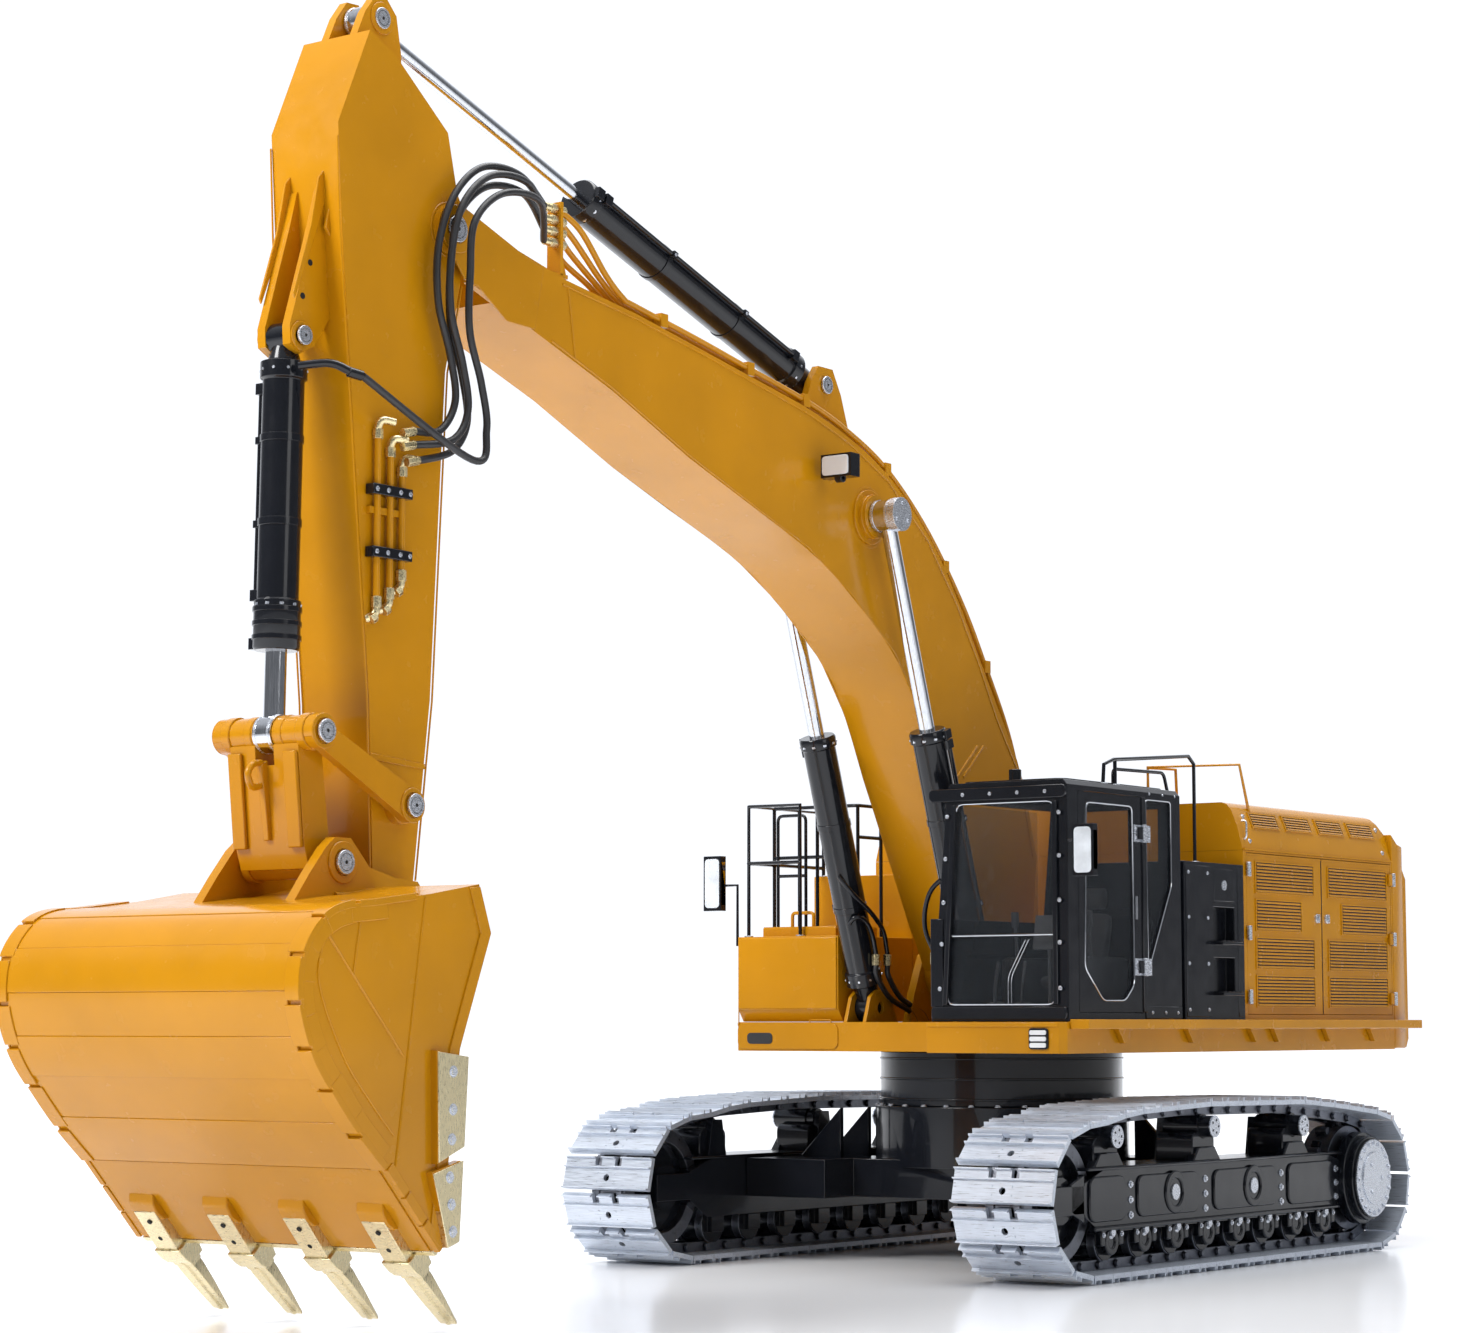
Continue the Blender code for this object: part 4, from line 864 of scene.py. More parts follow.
# ---- boom: nose doublers, foot seams, lift bosses, manifold and pipes on its back
BOOM_HALF = 0.0435
plates = Kit("boom_plates", "boom", YELLOW, 0.0006)
seams = Kit("boom_seams", "boom", YELLOW, 0.0)
NOSE = mm([
    (-889, 896), (-901, 880), (-896, 866), (-873, 839), (-856, 836), (-819, 813), (-782, 812),
    (-771, 866), (-800, 874), (-868, 897),
])
BOOM_UNDER = mm([
    (-760, 804), (-676, 776), (-565, 732), (-494, 708), (-380, 670), (-309, 634), (-236, 584),
    (-194, 533), (-154, 459), (-75, 320),
])
BOOM_OVER = mm([
    (18, 400), (-6, 480), (-50, 536), (-83, 588), (-123, 644), (-175, 702), (-246, 753), (-315, 782),
    (-382, 800), (-470, 816), (-548, 830), (-641, 845), (-745, 858),
])
DOUBLE_SEAM = (((-124.7, 473.4), (-87.3, 506.5)), ((-113.7, 474), (-76, 507.2)))
for side in (-1, 1):
    x = BOOM_X + side * BOOM_HALF
    plates.prism("X", NOSE, *beside(side, BOOM_HALF - 0.0008, BOOM_HALF + 0.0010))
    plates.ring("X", BOOM_TIP, 0.0200, 0.0118, *beside(side, BOOM_HALF, BOOM_HALF + 0.0018), 48)
    for run, inward in ((BOOM_UNDER, 0.0022), (BOOM_OVER, 0.0005)):
        seams.tube([(x, y, z) for y, z in moved_out(run, inward)], 0.0010, 6)
    for line in DOUBLE_SEAM:
        seams.rod(*((x, y, z) for y, z in mm(line)), 0.0012, 8)
    seams.rod((x, -0.738, 0.857), (x, -0.728, 0.797), 0.0011, 8)
    for radius, out in ((0.0300, 0.0436), (0.0265, 0.0460), (0.0215, 0.0505)):
        plates.disc("X", LIFT_EYE, radius, *beside(side, BOOM_HALF - 0.002, out), 48)
    plates.ring("X", BOOM_FOOT, 0.0310, 0.0180, *beside(side, BOOM_HALF - 0.001, BOOM_HALF + 0.0002), 48)
lug = Kit("boom_lifting_eye", "boom", YELLOW, 0.0004)
lug.ring("X", (-0.797, 0.880), 0.0068, 0.0036, BOOM_X + 0.0210, BOOM_X + 0.0240, 28)
plates.done()
seams.done()
lug.done()
STAND = (BOOM_X + 0.0255, BOOM_X + 0.0405)
stand = Kit("boom_pipes_and_stand", "boom", YELLOW, 0.0004)
stand.box(STAND, (-0.7440, -0.7405), (0.8665, 0.9300))
stand.box(STAND, (-0.7570, -0.7340), (0.8640, 0.8675))
stand.prism("X", mm([(-740.6, 868), (-728, 866), (-740.6, 905)]), BOOM_X + 0.0310, BOOM_X + 0.0345)
EDGE = mm([
    (-655, 861), (-640, 857.5), (-547, 842.5), (-469, 828.5), (-380, 812.5), (-313, 794.5),
    (-243, 765.5), (-172, 714.5), (-108, 648), (-64, 588), (-20, 520), (8, 450),
])
for index, z in enumerate((0.924, 0.914, 0.904, 0.894)):
    x = BOOM_X + 0.0390 - 0.0072 * index
    lead = [
        (BOOM_X + 0.0350, -0.7405, z),
        (x, -0.715, 0.868 + (z - 0.868) * 0.75),
        (x, -0.680, 0.869 + (z - 0.868) * 0.15),
    ]
    stand.tube(smooth_path(lead + [(x, y, top) for y, top in EDGE], 90), 0.0027, 12)
for y, z in mm([(-600, 852), (-469, 829), (-380, 813), (-243, 766), (-140, 682), (-64, 589)]):
    stand.box((BOOM_X + 0.0130, BOOM_X + 0.0425), (y - 0.005, y + 0.005), (z - 0.0075, z + 0.0048))
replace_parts(stand.done(), "boom_pipes")
bulkheads = Kit("boom_bulkhead_fittings", "boom", BRASS, 0.0003)
for z in (0.924, 0.914, 0.904, 0.894):
    x = BOOM_X + 0.0350
    bulkheads.rod((x, -0.7597, z), (x, -0.7500, z), 0.0036, 20)
    bulkheads.rod((x, -0.7530, z), (x, -0.7442, z), 0.0046, 6)
    bulkheads.rod((x, -0.7404, z), (x, -0.7330, z), 0.0042, 6)
bulkheads.done()

# ---- boom lamp
lamp_x = BOOM_X + 0.069
# Pale lens: painted glint.
glass = Kit("boom_lamp_lens", "boom_lamp", LENS, 0.0004)
glass.round_box("Y", (lamp_x - 0.0145, lamp_x + 0.0145), (0.7400, 0.7580), (-0.3738, -0.3718), 0.003)
glass.done()
fins = Kit("boom_lamp_fins", "boom_lamp", BLACK, 0.0003)
for k in range(7):
    z = 0.7408 + 0.0028 * k
    fins.box((lamp_x - 0.0150, lamp_x + 0.0150), (-0.3575, -0.3535), (z, z + 0.0012))
fins.ring("X", (-0.3645, 0.7385), 0.0050, 0.0022, lamp_x - 0.0035, lamp_x + 0.0035, 24)
fins.done()


def short_hose(name, parts, points, diameter, count=49):
    """A bare lead or hose between two bodies."""
    path = smooth_path(points, count)
    kit = Kit(name, parts[1], RUBBER, 0.0)
    kit.tube(path, diameter / 2, 12)
    piece = kit.done(shown=False)
    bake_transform(piece)


short_hose(
    "boom_lamp_lead",
    ("boom", "boom_lamp"),
    [
        (BOOM_X + 0.0430, -0.318, 0.7535), (BOOM_X + 0.050, -0.322, 0.758),
        (BOOM_X + 0.058, -0.335, 0.760), (lamp_x, -0.347, 0.755), (lamp_x, -0.3545, 0.747),
    ],
    0.0024,
)

# ---- cab: panes, bright trim, bolts, hinges and the driver's place
GLASS_Y = -0.2386
WINDSCREEN = mm([(90, 249), (208, 249), (208, 437), (101, 437)])
DOOR_PANE = mm([(-206, 437), (-120, 437), (-119, 268), (-137, 253), (-178, 253), (-211, 283)])
REAR_PANE = mm([(-94, 445), (-45, 445), (-45, 364), (-92, 281)])
panes = Kit("cab_glass", "house", GLASS, 0.0)
panes.prism("Y", WINDSCREEN, GLASS_Y, GLASS_Y + 0.0014)
panes.prism("X", REAR_PANE, 0.2186, 0.2200)
panes.box((0.0735, 0.0749), (-0.220, -0.050), (0.330, 0.440))
panes.box((0.115, 0.200), (-0.0295, -0.0281), (0.345, 0.440))
panes.done()
door_glass = Kit("cab_door_glass", "cab_door", GLASS, 0.0)
door_glass.prism("X", DOOR_PANE, 0.2188, 0.2202)
door_glass.done()


def bright_outline(kit, corners, radius, bend):
    """A thin round trim line through the corners, closed, with its corners rounded."""
    middle = (Vector(corners[0]) + Vector(corners[-1])) / 2
    kit.tube(bent([middle, *corners, middle], bend, 4), radius, 8)


trim = Kit("cab_bright_trim", "house", CHROME, 0.0)
bright_outline(trim, [(x, -0.2412, z) for x, z in WINDSCREEN], 0.0008, 0.008)
bright_outline(trim, [(0.2222, y, z) for y, z in REAR_PANE], 0.0007, 0.004)
trim.rod((0.090, -0.2408, 0.3137), (0.208, -0.2408, 0.3137), 0.0012, 10)
for dx in (0.0, 0.0035):
    wiper = [(0.1757 + dx, -0.2402, 0.3088), (0.1566 + dx, -0.2402, 0.2750), (0.1566 + dx, -0.2402, 0.2500)]
    trim.tube(bent(wiper, 0.006), 0.0006, 8)
trim.done()
door_trim = Kit("cab_door_trim", "cab_door", CHROME, 0.0)
bright_outline(door_trim, [(0.2220, y, z) for y, z in DOOR_PANE], 0.0008, 0.006)
door_trim.rod((0.2225, -0.1150, 0.330), (0.2225, -0.1150, 0.352), 0.0016, 12)
door_trim.done()

posts = Kit("cab_posts_and_visor", "house", BLACK, 0.0008)
posts.round_box("Y", (0.0722, 0.2218), (0.4400, 0.4520), (-0.2440, -0.2405), 0.004)
posts.prism("Y", mm([(86, 249), (91, 249), (102, 437), (97, 437)]), -0.2440, -0.2405)
posts.prism("Y", mm([(207, 249), (212, 249), (212, 437), (207, 437)]), -0.2440, -0.2405)
posts.round_box("Y", (0.0735, 0.2210), (0.2352, 0.2470), (-0.2440, -0.2405), 0.003)
posts.round_box("Z", (0.100, 0.212), (-0.232, -0.036), (0.4568, 0.4590), 0.012)
posts.box((0.0722, 0.0860), (-0.2425, -0.2405), (0.2470, 0.3300))
posts.tube(
    bent(
        [(0.200, -0.117, 0.4573), (0.200, -0.117, 0.4743), (0.200, -0.018, 0.4763), (0.200, -0.010, 0.4573)],
        0.006,
    ),
    0.0017,
    12,
)
posts.box((0.2215, 0.2232), (-0.1020, -0.0950), (0.2420, 0.4470))
posts.box((0.2215, 0.2230), (-0.0980, -0.0270), (0.2360, 0.2480))
posts.done()
bolts = Kit("cab_bolts", "house", STEEL, 0.0)
for z in (0.426, 0.386, 0.345, 0.306, 0.264):
    lean = (z - 0.249) * 0.058
    bolts.bolt((0.0825 + lean, -0.2440, z), (0, -1, 0), 0.0016, 0.0010)
    bolts.bolt((0.2148, -0.2440, z), (0, -1, 0), 0.0016, 0.0010)
for x in (0.110, 0.140, 0.170, 0.200):
    bolts.bolt((x, -0.2440, 0.4460), (0, -1, 0), 0.0014, 0.0009)
for y in (-0.086, -0.060, -0.036):
    for z in (0.242, 0.451):
        bolts.bolt((0.2230 if z < 0.3 else 0.2216, y, z), (1, 0, 0), 0.0013, 0.0009)
bolts.done()
hinges = Kit("cab_door_hinges", "cab_door", STEEL, 0.0004)
for z in (0.285, 0.412):
    hinges.box((0.2218, 0.2232), (-0.1180, -0.1045), (z - 0.0080, z + 0.0080))
    hinges.rod((0.2247, -0.1020, z - 0.0085), (0.2247, -0.1020, z + 0.0085), 0.0026, 18)
    for y in (-0.1150, -0.1085):
        for dz in (-0.0045, 0.0045):
            hinges.bolt((0.2231, y, z + dz), (1, 0, 0), 0.0011, 0.0008)
hinges.done()
hinge_wall = Kit("cab_wall_hinges", "house", STEEL, 0.0004)
for z in (0.285, 0.412):
    hinge_wall.box((0.2226, 0.2240), (-0.0995, -0.0880), (z - 0.0080, z + 0.0080))
    for y in (-0.0965, -0.0905):
        for dz in (-0.0045, 0.0045):
            hinge_wall.bolt((0.2239, y, z + dz), (1, 0, 0), 0.0011, 0.0008)
hinge_wall.done()


def cushion(name, outline, x):
    """A padded block with crowned faces, drawn through an outline in the (y, z) plane."""
    kit = Kit(name, "house", FABRIC, 0.0)
    low, high = x
    rings = []
    middle = Vector((0, sum(y for y, _ in outline) / len(outline), sum(z for _, z in outline) / len(outline)))
    for share, size in (
        (0.0, 0.80), (0.06, 0.95), (0.3, 1.0), (0.5, 1.02), (0.7, 1.0), (0.94, 0.95), (1.0, 0.80),
    ):
        at = low + (high - low) * share
        ring = [middle + (Vector((0, y, z)) - middle) * size for y, z in outline]
        rings.append([(at, p.y, p.z) for p in ring])
    kit.skin(rings)
    piece = kit.done()
    soft = piece.modifiers.new("soft", "SUBSURF")
    soft.levels = 2
    soft.render_levels = 2
    return piece


cushion_piece = cushion(
    "seat_cushion",
    mm([(-136, 266), (-112, 263), (-88, 266), (-86, 276), (-110, 279), (-136, 277)]),
    (0.124, 0.172),
)
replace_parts(cushion_piece, "seat")
cushion(
    "seat_back",
    mm([(-90, 280), (-78, 278), (-66, 330), (-64, 338), (-74, 340), (-84, 310)]),
    (0.126, 0.170),
)
cushion(
    "seat_head",
    mm([(-72, 342), (-62, 341), (-60, 357), (-63, 364), (-72, 362), (-75, 352)]),
    (0.134, 0.162),
)
inside = Kit("cab_fittings", "house", PLASTIC, 0.0008)
inside.box((0.133, 0.163), (-0.124, -0.086), (0.2435, 0.2600))
for dy in range(4):
    inside.box((0.130, 0.166), (-0.127 + 0.011 * dy, -0.119 + 0.011 * dy), (0.2480, 0.2510))
inside.box((0.126, 0.170), (-0.118, -0.076), (0.2600, 0.2640))
inside.prism("X", mm([(-232, 300), (-226, 300), (-220, 330), (-226, 332)]), 0.178, 0.208)
inside.rod((0.193, -0.224, 0.240), (0.193, -0.224, 0.302), 0.0028, 14)
for x in (0.120, 0.150):
    inside.tube(bent([(x, -0.205, 0.240), (x, -0.205, 0.262), (x, -0.198, 0.290)], 0.01), 0.0018, 10)
    inside.prism("X", mm([(-222, 243), (-196, 243), (-200, 252), (-222, 247)]), x - 0.008, x + 0.008)
for x in (0.1050, 0.1870):
    inside.box((x - 0.0008, x + 0.0085), (-0.160, -0.090), (0.2915, 0.2945))
inside.done()
screen = Kit("cab_screen_face", "house", HOLE, 0.0003)
screen.prism("X", mm([(-224.6, 303), (-218.8, 329), (-218.2, 329), (-224.0, 303)]), 0.181, 0.205)
screen.done()

# ---- mirrors
MIRROR_HALF = 0.011
MIRRORS = (("mirror_l", 0.246, -0.250, (0.366, 0.414)), ("mirror_r", -0.250, -0.150, (0.346, 0.402)))
for node, x, y, z in MIRRORS:
    bowl = Kit(node + "_shell", node, CHROME, 0.0008)
    bowl.round_box("Y", (x - MIRROR_HALF, x + MIRROR_HALF), z, (y - 0.0044, y + 0.0044), 0.006)
    bowl.done()
    # The pale mirror face is a painted reflection.
    face = Kit(node + "_face", node, MIRROR, 0.0002)
    face.round_box(
        "Y",
        (x - MIRROR_HALF + 0.002, x + MIRROR_HALF - 0.002),
        (z[0] + 0.003, z[1] - 0.003),
        (y - 0.0050, y - 0.0042),
        0.004,
    )
    face.done()
    stay = Kit(node + "_stay", node, BLACK, 0.0005)
    stay.box((x - 0.0040, x + 0.0040), (y + 0.0043, y + 0.0068), (z[0] + 0.012, z[1] - 0.008))
    for share in (0.3, 0.7):
        stay.rod(
            (x, y + 0.0060, z[0] + (z[1] - z[0]) * share),
            (x, y + 0.0090, z[0] + (z[1] - z[0]) * share),
            0.0030,
            16,
        )
    stay.done()

# ---- doors and hood: louvres, latches, hinges
def louvre(kit, back, side, y, z, slats, face=0.2216, lean=0.0):
    """A panel of slanted slats in a thin frame, on a face that may lean inwards as it rises."""
    rise = (z[1] - z[0]) / slats

    def at(height):
        return side * (face - lean * (height - z[0]))

    def strip(kit, low, high, y_range, out_low, out_high):
        inner = [(at(low) - side * 0.0012, low), (at(high) - side * 0.0012, high)]
        outer = [(at(high) + side * out_high, high), (at(low) + side * out_low, low)]
        kit.prism("Y", inner + outer, *y_range)

    # The near-black sheet behind the slats is painted shade inside the louvre.
    strip(back, z[0], z[1], y, 0.0002, 0.0002)
    for k in range(slats):
        low = z[0] + rise * k
        strip(kit, low + rise * 0.08, low + rise * 0.74, (y[0] + 0.002, y[1] - 0.002), 0.0015, 0.0006)
    for low, high in ((z[0] - 0.0016, z[0]), (z[1], z[1] + 0.0016)):
        strip(kit, low, high, (y[0] - 0.0016, y[1] + 0.0016), 0.0011, 0.0011)
    for low, high in ((y[0] - 0.0016, y[0] + 0.0004), (y[1] - 0.0004, y[1] + 0.0016)):
        strip(kit, z[0], z[1], (low, high), 0.0011, 0.0011)


ROWS = ((0.2490, 0.2790), (0.2872, 0.3172), (0.3255, 0.3555), (0.3637, 0.3937))
DOORS = (
    ("engine_door_front", (0.1305, 0.2585), (0.1305, 0.2300), 0.2660, -1),
    ("engine_door_rear", (0.2925, 0.4320), (0.3240, 0.4320), 0.2885, 1),
)
for node, wide, narrow, latch_y, toward in DOORS:
    slats = Kit(node + "_louvres", node, YELLOW, 0.0)
    back = Kit(node + "_louvre_gaps", node, HOLE, 0.0)
    for k, z in enumerate(ROWS):
        louvre(slats, back, 1, narrow if k == 2 else wide, z, 9)
    slats.box((0.2214, 0.2222), (0.1118, 0.2768) if toward < 0 else (0.2782, 0.4432), (0.4005, 0.4020))
    slats.done()
    back.done()
    latch = Kit(node + "_latch", node, STEEL, 0.0004)
    latch.disc("X", (latch_y, 0.3400), 0.0048, 0.2212, 0.2236, 28)
    latch.round_box("X", (latch_y - 0.0015, latch_y + 0.0015), (0.3355, 0.3445), (0.2234, 0.2252), 0.0012)
    for z in (0.258, 0.322, 0.386):
        axis_y = 0.1105 if toward < 0 else 0.4445
        latch.rod((0.2249, axis_y, z - 0.0072), (0.2249, axis_y, z + 0.0072), 0.0025, 16)
    latch.done()
    # A near-black strip in the gap beside the door: painted shade.
    door_gap_shade = Kit(node + "_seal", node, HOLE, 0.0)
    door_gap_shade.box((0.2168, 0.2219), (0.2768, 0.2774) if toward < 0 else (0.2776, 0.2782), (0.2412, 0.4023))
    door_gap_shade.done()

hood = Kit("hood_louvres", "hood", YELLOW, 0.0)
gaps = Kit("hood_louvre_gaps", "hood", HOLE, 0.0)
LEAN = (0.2155 - 0.2090) / (0.446 - 0.430)
for side in (-1, 1):
    for k in range(4):
        low = 0.138 + 0.074 * k
        louvre(hood, gaps, side, (low, low + 0.058), (0.4305, 0.4435), 5, 0.2155 - 0.0005 * LEAN, LEAN)
for k in range(3):
    low = 0.160 + 0.085 * k
    for i in range(7):
        y = low + 0.0085 * i
        hood.prism(
            "X",
            [(y, 0.4535), (y + 0.005, 0.4535), (y + 0.0045, 0.4556), (y + 0.002, 0.4556)],
            -0.120,
            0.060,
        )
hood.box((-0.126, 0.066), (0.150, 0.152), (0.4535, 0.4560))
hood.box((-0.126, 0.066), (0.392, 0.394), (0.4535, 0.4560))
hood.box((0.2150, 0.2232), (0.1060, 0.4460), (0.4052, 0.4072))
hood.done()
gaps.done()
catch = Kit("hood_catch", "hood", STEEL, 0.0003)
catch.tube(
    bent(
        [
            (0.2160, 0.1130, 0.4350), (0.2215, 0.1130, 0.4350), (0.2215, 0.1130, 0.4180),
            (0.2190, 0.1130, 0.4165),
        ],
        0.003,
    ),
    0.0011,
    10,
)
for y, z in ((0.1240, 0.4400), (0.1240, 0.4150), (0.4300, 0.4150), (0.4300, 0.4400)):
    out = 0.2155 - (z - 0.430) * (LEAN if z > 0.43 else 0.24)
    catch.bolt((out, y, z), (1, 0, 0.3), 0.0020, 0.0016)
catch.done()

# ---- right-hand side louvres and the tank cap
far = Kit("house_right_louvres", "house", YELLOW, 0.0)
far_gaps = Kit("house_right_louvre_gaps", "house", HOLE, 0.0)
for y in ((0.1305, 0.2585), (0.2925, 0.4320)):
    for z in ROWS:
        louvre(far, far_gaps, -1, y, z, 9, 0.2217)
far.done()
far_gaps.done()
tank_cap = Kit("tank_cap", "house", STEEL, 0.0005)
tank_cap.disc("Z", (-0.155, 0.060), 0.0110, 0.3845, 0.3900, 32)
tank_cap.disc("Z", (-0.155, 0.060), 0.0070, 0.3895, 0.3925, 6)
for x in (-0.2075, -0.1100):
    for y in (0.000, 0.092):
        tank_cap.bolt((x, y, 0.3850), (0, 0, 1), 0.0022, 0.0014)
tank_cap.done()

# ---- side compartment: recesses, treads and a plate of bolts
side_box = Kit("side_compartment_trim", "house", BLACK, 0.0005)
side_box.box((0.2216, 0.2230), (-0.0170, 0.0320), (0.2380, 0.3860))
side_box.box((0.2216, 0.2228), (0.0900, 0.1010), (0.2380, 0.3860))
for z in (0.262, 0.312):
    side_box.box((0.2130, 0.2330), (0.0395, 0.0835), (z - 0.0030, z))
    for k in range(5):
        y = 0.044 + 0.0085 * k
        side_box.box((0.2145, 0.2320), (y, y + 0.003), (z, z + 0.0012))
side_box.box((0.2216, 0.2226), (0.0410, 0.0820), (0.3520, 0.3840))
side_box.done()
rivets = Kit("side_compartment_bolts", "house", STEEL, 0.0)
for y in (-0.012, 0.0270):
    for z in (0.245, 0.290, 0.335, 0.379):
        rivets.bolt((0.2230, y, z), (1, 0, 0), 0.0014, 0.0010)
rivets.disc("X", (0.0615, 0.368), 0.0050, 0.2224, 0.2234, 24)
rivets.done()

# ---- deck front, work lights, right-front box and step box
front = Kit("deck_trim", "house", YELLOW, 0.0005)
front.box((0.0735, 0.2158), (-0.2512, -0.2495), (0.2285, 0.2325))
front.box((-0.2225, -0.2205), (-0.1480, 0.4460), (0.2290, 0.2325))
front.box((0.2200, 0.2245), (-0.2400, 0.4700), (0.2310, 0.2335))
front.prism("X", mm([(-149.4, 246.6), (-148.2, 246.6), (-148.2, 318), (-149.4, 317)]), -0.2205, -0.1000)
front.box((-0.1995, -0.1105), (-0.1345, -0.0605), (0.3275, 0.3290))
front.tube(
    bent(
        [(-0.168, -0.128, 0.328), (-0.168, -0.128, 0.343), (-0.142, -0.128, 0.343), (-0.142, -0.128, 0.328)],
        0.004,
    ),
    0.0018,
    12,
)
outline = [(-0.1326, 0.2242), (-0.1071, 0.2242), (-0.1071, 0.2352), (-0.1326, 0.2352)]
for (x0, z0), (x1, z1) in zip(outline, outline[1:] + outline[:1]):
    front.rod((x0, -0.1486, z0), (x1, -0.1486, z1), 0.0007, 6)
for (x0, z0), (x1, z1) in (((-0.2205, 0.2245), (-0.2205, 0.2460)), ((-0.2205, 0.2460), (-0.1000, 0.2460))):
    front.rod((x0, -0.1484, z0), (x1, -0.1484, z1), 0.0007, 6)
front.round_box("Y", (-0.2215, -0.0985), (0.2060, 0.2320), (-0.1492, -0.1478), 0.007)
front.done()
slot = Kit("deck_lamp_slot", "house", RUBBER, 0.0003)
slot.round_box("Y", (-0.2092, -0.1781), (0.2112, 0.2222), (-0.1500, -0.1490), 0.004)
slot.done()
dark = Kit("deck_light_housing", "house", BLACK, 0.0004)
dark.round_box("Y", (0.1850, 0.2056), (0.2078, 0.2274), (-0.2520, -0.2495), 0.003)
dark.done()
# Pale lenses: painted glint.
lights = Kit("deck_light_lenses", "house", LENS, 0.0003)
for k in range(3):
    lights.round_box(
        "Y",
        (0.1866, 0.2040),
        (0.2095 + 0.0058 * k, 0.2138 + 0.0058 * k),
        (-0.2532, -0.2516),
        0.0016,
    )
lights.done()
tail = Kit("tail_lights", "house", RED, 0.0004)
for side in (-1, 1):
    tail.round_box("Y", across(side, 0.150, 0.176), (0.2320, 0.2440), (0.5655, 0.5675), 0.004)
tail.done()
rear = Kit("counterweight_trim", "house", YELLOW, 0.0008)
rear.round_box("Y", (-0.060, 0.060), (0.2550, 0.3600), (0.5650, 0.5668), 0.010)
for side in (-1, 1):
    rear.ring("X", (0.5150, 0.4230), 0.0130, 0.0060, *across(side, 0.105, 0.113), 32)
rear.round_box("Z", (-0.020, 0.020), (0.560, 0.574), (0.2060, 0.2140), 0.006)
rear.done()

# ---- inner hoops and bars of the right-hand guard rail, and the feet of the rails
BOX_TOP = 0.3190
LID_TOP = 0.3280
HOOP_X = (-0.1915, -0.1570)
HOOP_Y = -0.120
HOOP_TOP = 0.4425
GUARD_X = (-0.2140, -0.1100)
GUARD_Y = (-0.095, -0.053)
GUARD_TOP = 0.4520
BAR_RADIUS = 0.0019
guard = Kit("guard_rail_bars", "house", BLACK, 0.0)
hoop = [
    (x, HOOP_Y, z) for x, z in zip(HOOP_X[:1] * 2 + HOOP_X[1:] * 2, (LID_TOP, HOOP_TOP, HOOP_TOP, LID_TOP))
]
guard.tube(bent(hoop, 0.006), 0.0017, 12)
guard.rod((HOOP_X[0], HOOP_Y, 0.3810), (HOOP_X[1], HOOP_Y, 0.3810), 0.0017, 12)
outer, inner = GUARD_X
front_y, back_y = GUARD_Y
top_bar = [
    (outer, front_y, GUARD_TOP), (inner, front_y, GUARD_TOP), (inner, back_y, GUARD_TOP),
    (inner, back_y, BOX_TOP),
]
guard.tube(bent(top_bar, 0.005), BAR_RADIUS, 12)
guard.rod((inner, front_y, BOX_TOP), (inner, front_y, 0.4500), BAR_RADIUS, 12)
guard.rod((-0.1600, front_y, LID_TOP), (-0.1600, front_y, GUARD_TOP), BAR_RADIUS, 12)
guard.rod((outer, front_y, 0.4010), (inner, front_y, 0.4010), BAR_RADIUS, 12)
guard.rod((inner, front_y, 0.4200), (inner, back_y, 0.4200), BAR_RADIUS, 12)
guard.done()
feet = Kit("rail_feet", "house", STEEL, 0.0003)
for y in (-0.140, -0.095, -0.050):
    feet.disc("Z", (-0.214, y), 0.0046, 0.3190, 0.3204, 20)
feet.disc("Z", (-0.150, -0.140), 0.0046, 0.3190, 0.3204, 20)
feet.disc("Z", (-0.214, -0.006), 0.0046, 0.3850, 0.3862, 20)
feet.disc("Z", (0.2115, -0.133), 0.0046, 0.4570, 0.4582, 20)
feet.disc("Z", (0.2115, -0.156), 0.0046, 0.4570, 0.4582, 20)
feet.disc("Z", (0.2115, 0.0230), 0.0046, 0.3897, 0.3908, 20)
feet.done()

# ---- lift cylinder feeds: bent pipes on the tubes, brass unions and short hoses down to the deck
FEEDS = (
    (
        "r",
        [
            (-0.0740, -0.1830, 0.3760), (-0.0640, -0.1750, 0.3600), (-0.0580, -0.1500, 0.3420),
            (-0.0580, -0.1260, 0.3240), (-0.0580, -0.1200, 0.3000),
        ],
        (-0.0615, -0.0430, 0.2335),
    ),
    (
        "r",
        [
            (-0.0720, -0.1660, 0.3300), (-0.0640, -0.1700, 0.3380), (-0.0590, -0.1560, 0.3340),
            (-0.0590, -0.1440, 0.3180), (-0.0590, -0.1390, 0.3000),
        ],
        (-0.0615, -0.0640, 0.2335),
    ),
    (
        "l",
        [
            (0.0420, -0.1760, 0.3700), (0.0300, -0.1760, 0.3620), (0.0200, -0.1720, 0.3420),
            (0.0180, -0.1690, 0.3210), (0.0260, -0.1640, 0.3000),
        ],
        (0.0300, -0.1250, 0.2335),
    ),
)
for index, (side, path, foot) in enumerate(FEEDS):
    body = "lift_cylinder_" + side
    pipe = Kit("lift_pipe_%d" % (index + 1), body, BLACK, 0.0)
    pipe.tube(bent(path, 0.010), 0.0024, 12)
    pipe.done()
    x, y, z = path[-1]
    union = Kit("lift_union_%d" % (index + 1), body, BRASS, 0.0002)
    union.rod((x, y, z - 0.0110), (x, y, z), 0.0042, 6)
    union.done()
    start = (x, y, z - 0.0105)
    points = [
        start,
        (x, y + 0.002, z - 0.022),
        (foot[0], y * 0.62 + foot[1] * 0.38, 0.257),
        (foot[0], y * 0.15 + foot[1] * 0.85, 0.2440),
        foot,
    ]
    short_hose("lift_feed_%d" % (index + 1), (body, "house"), points, 0.0056)

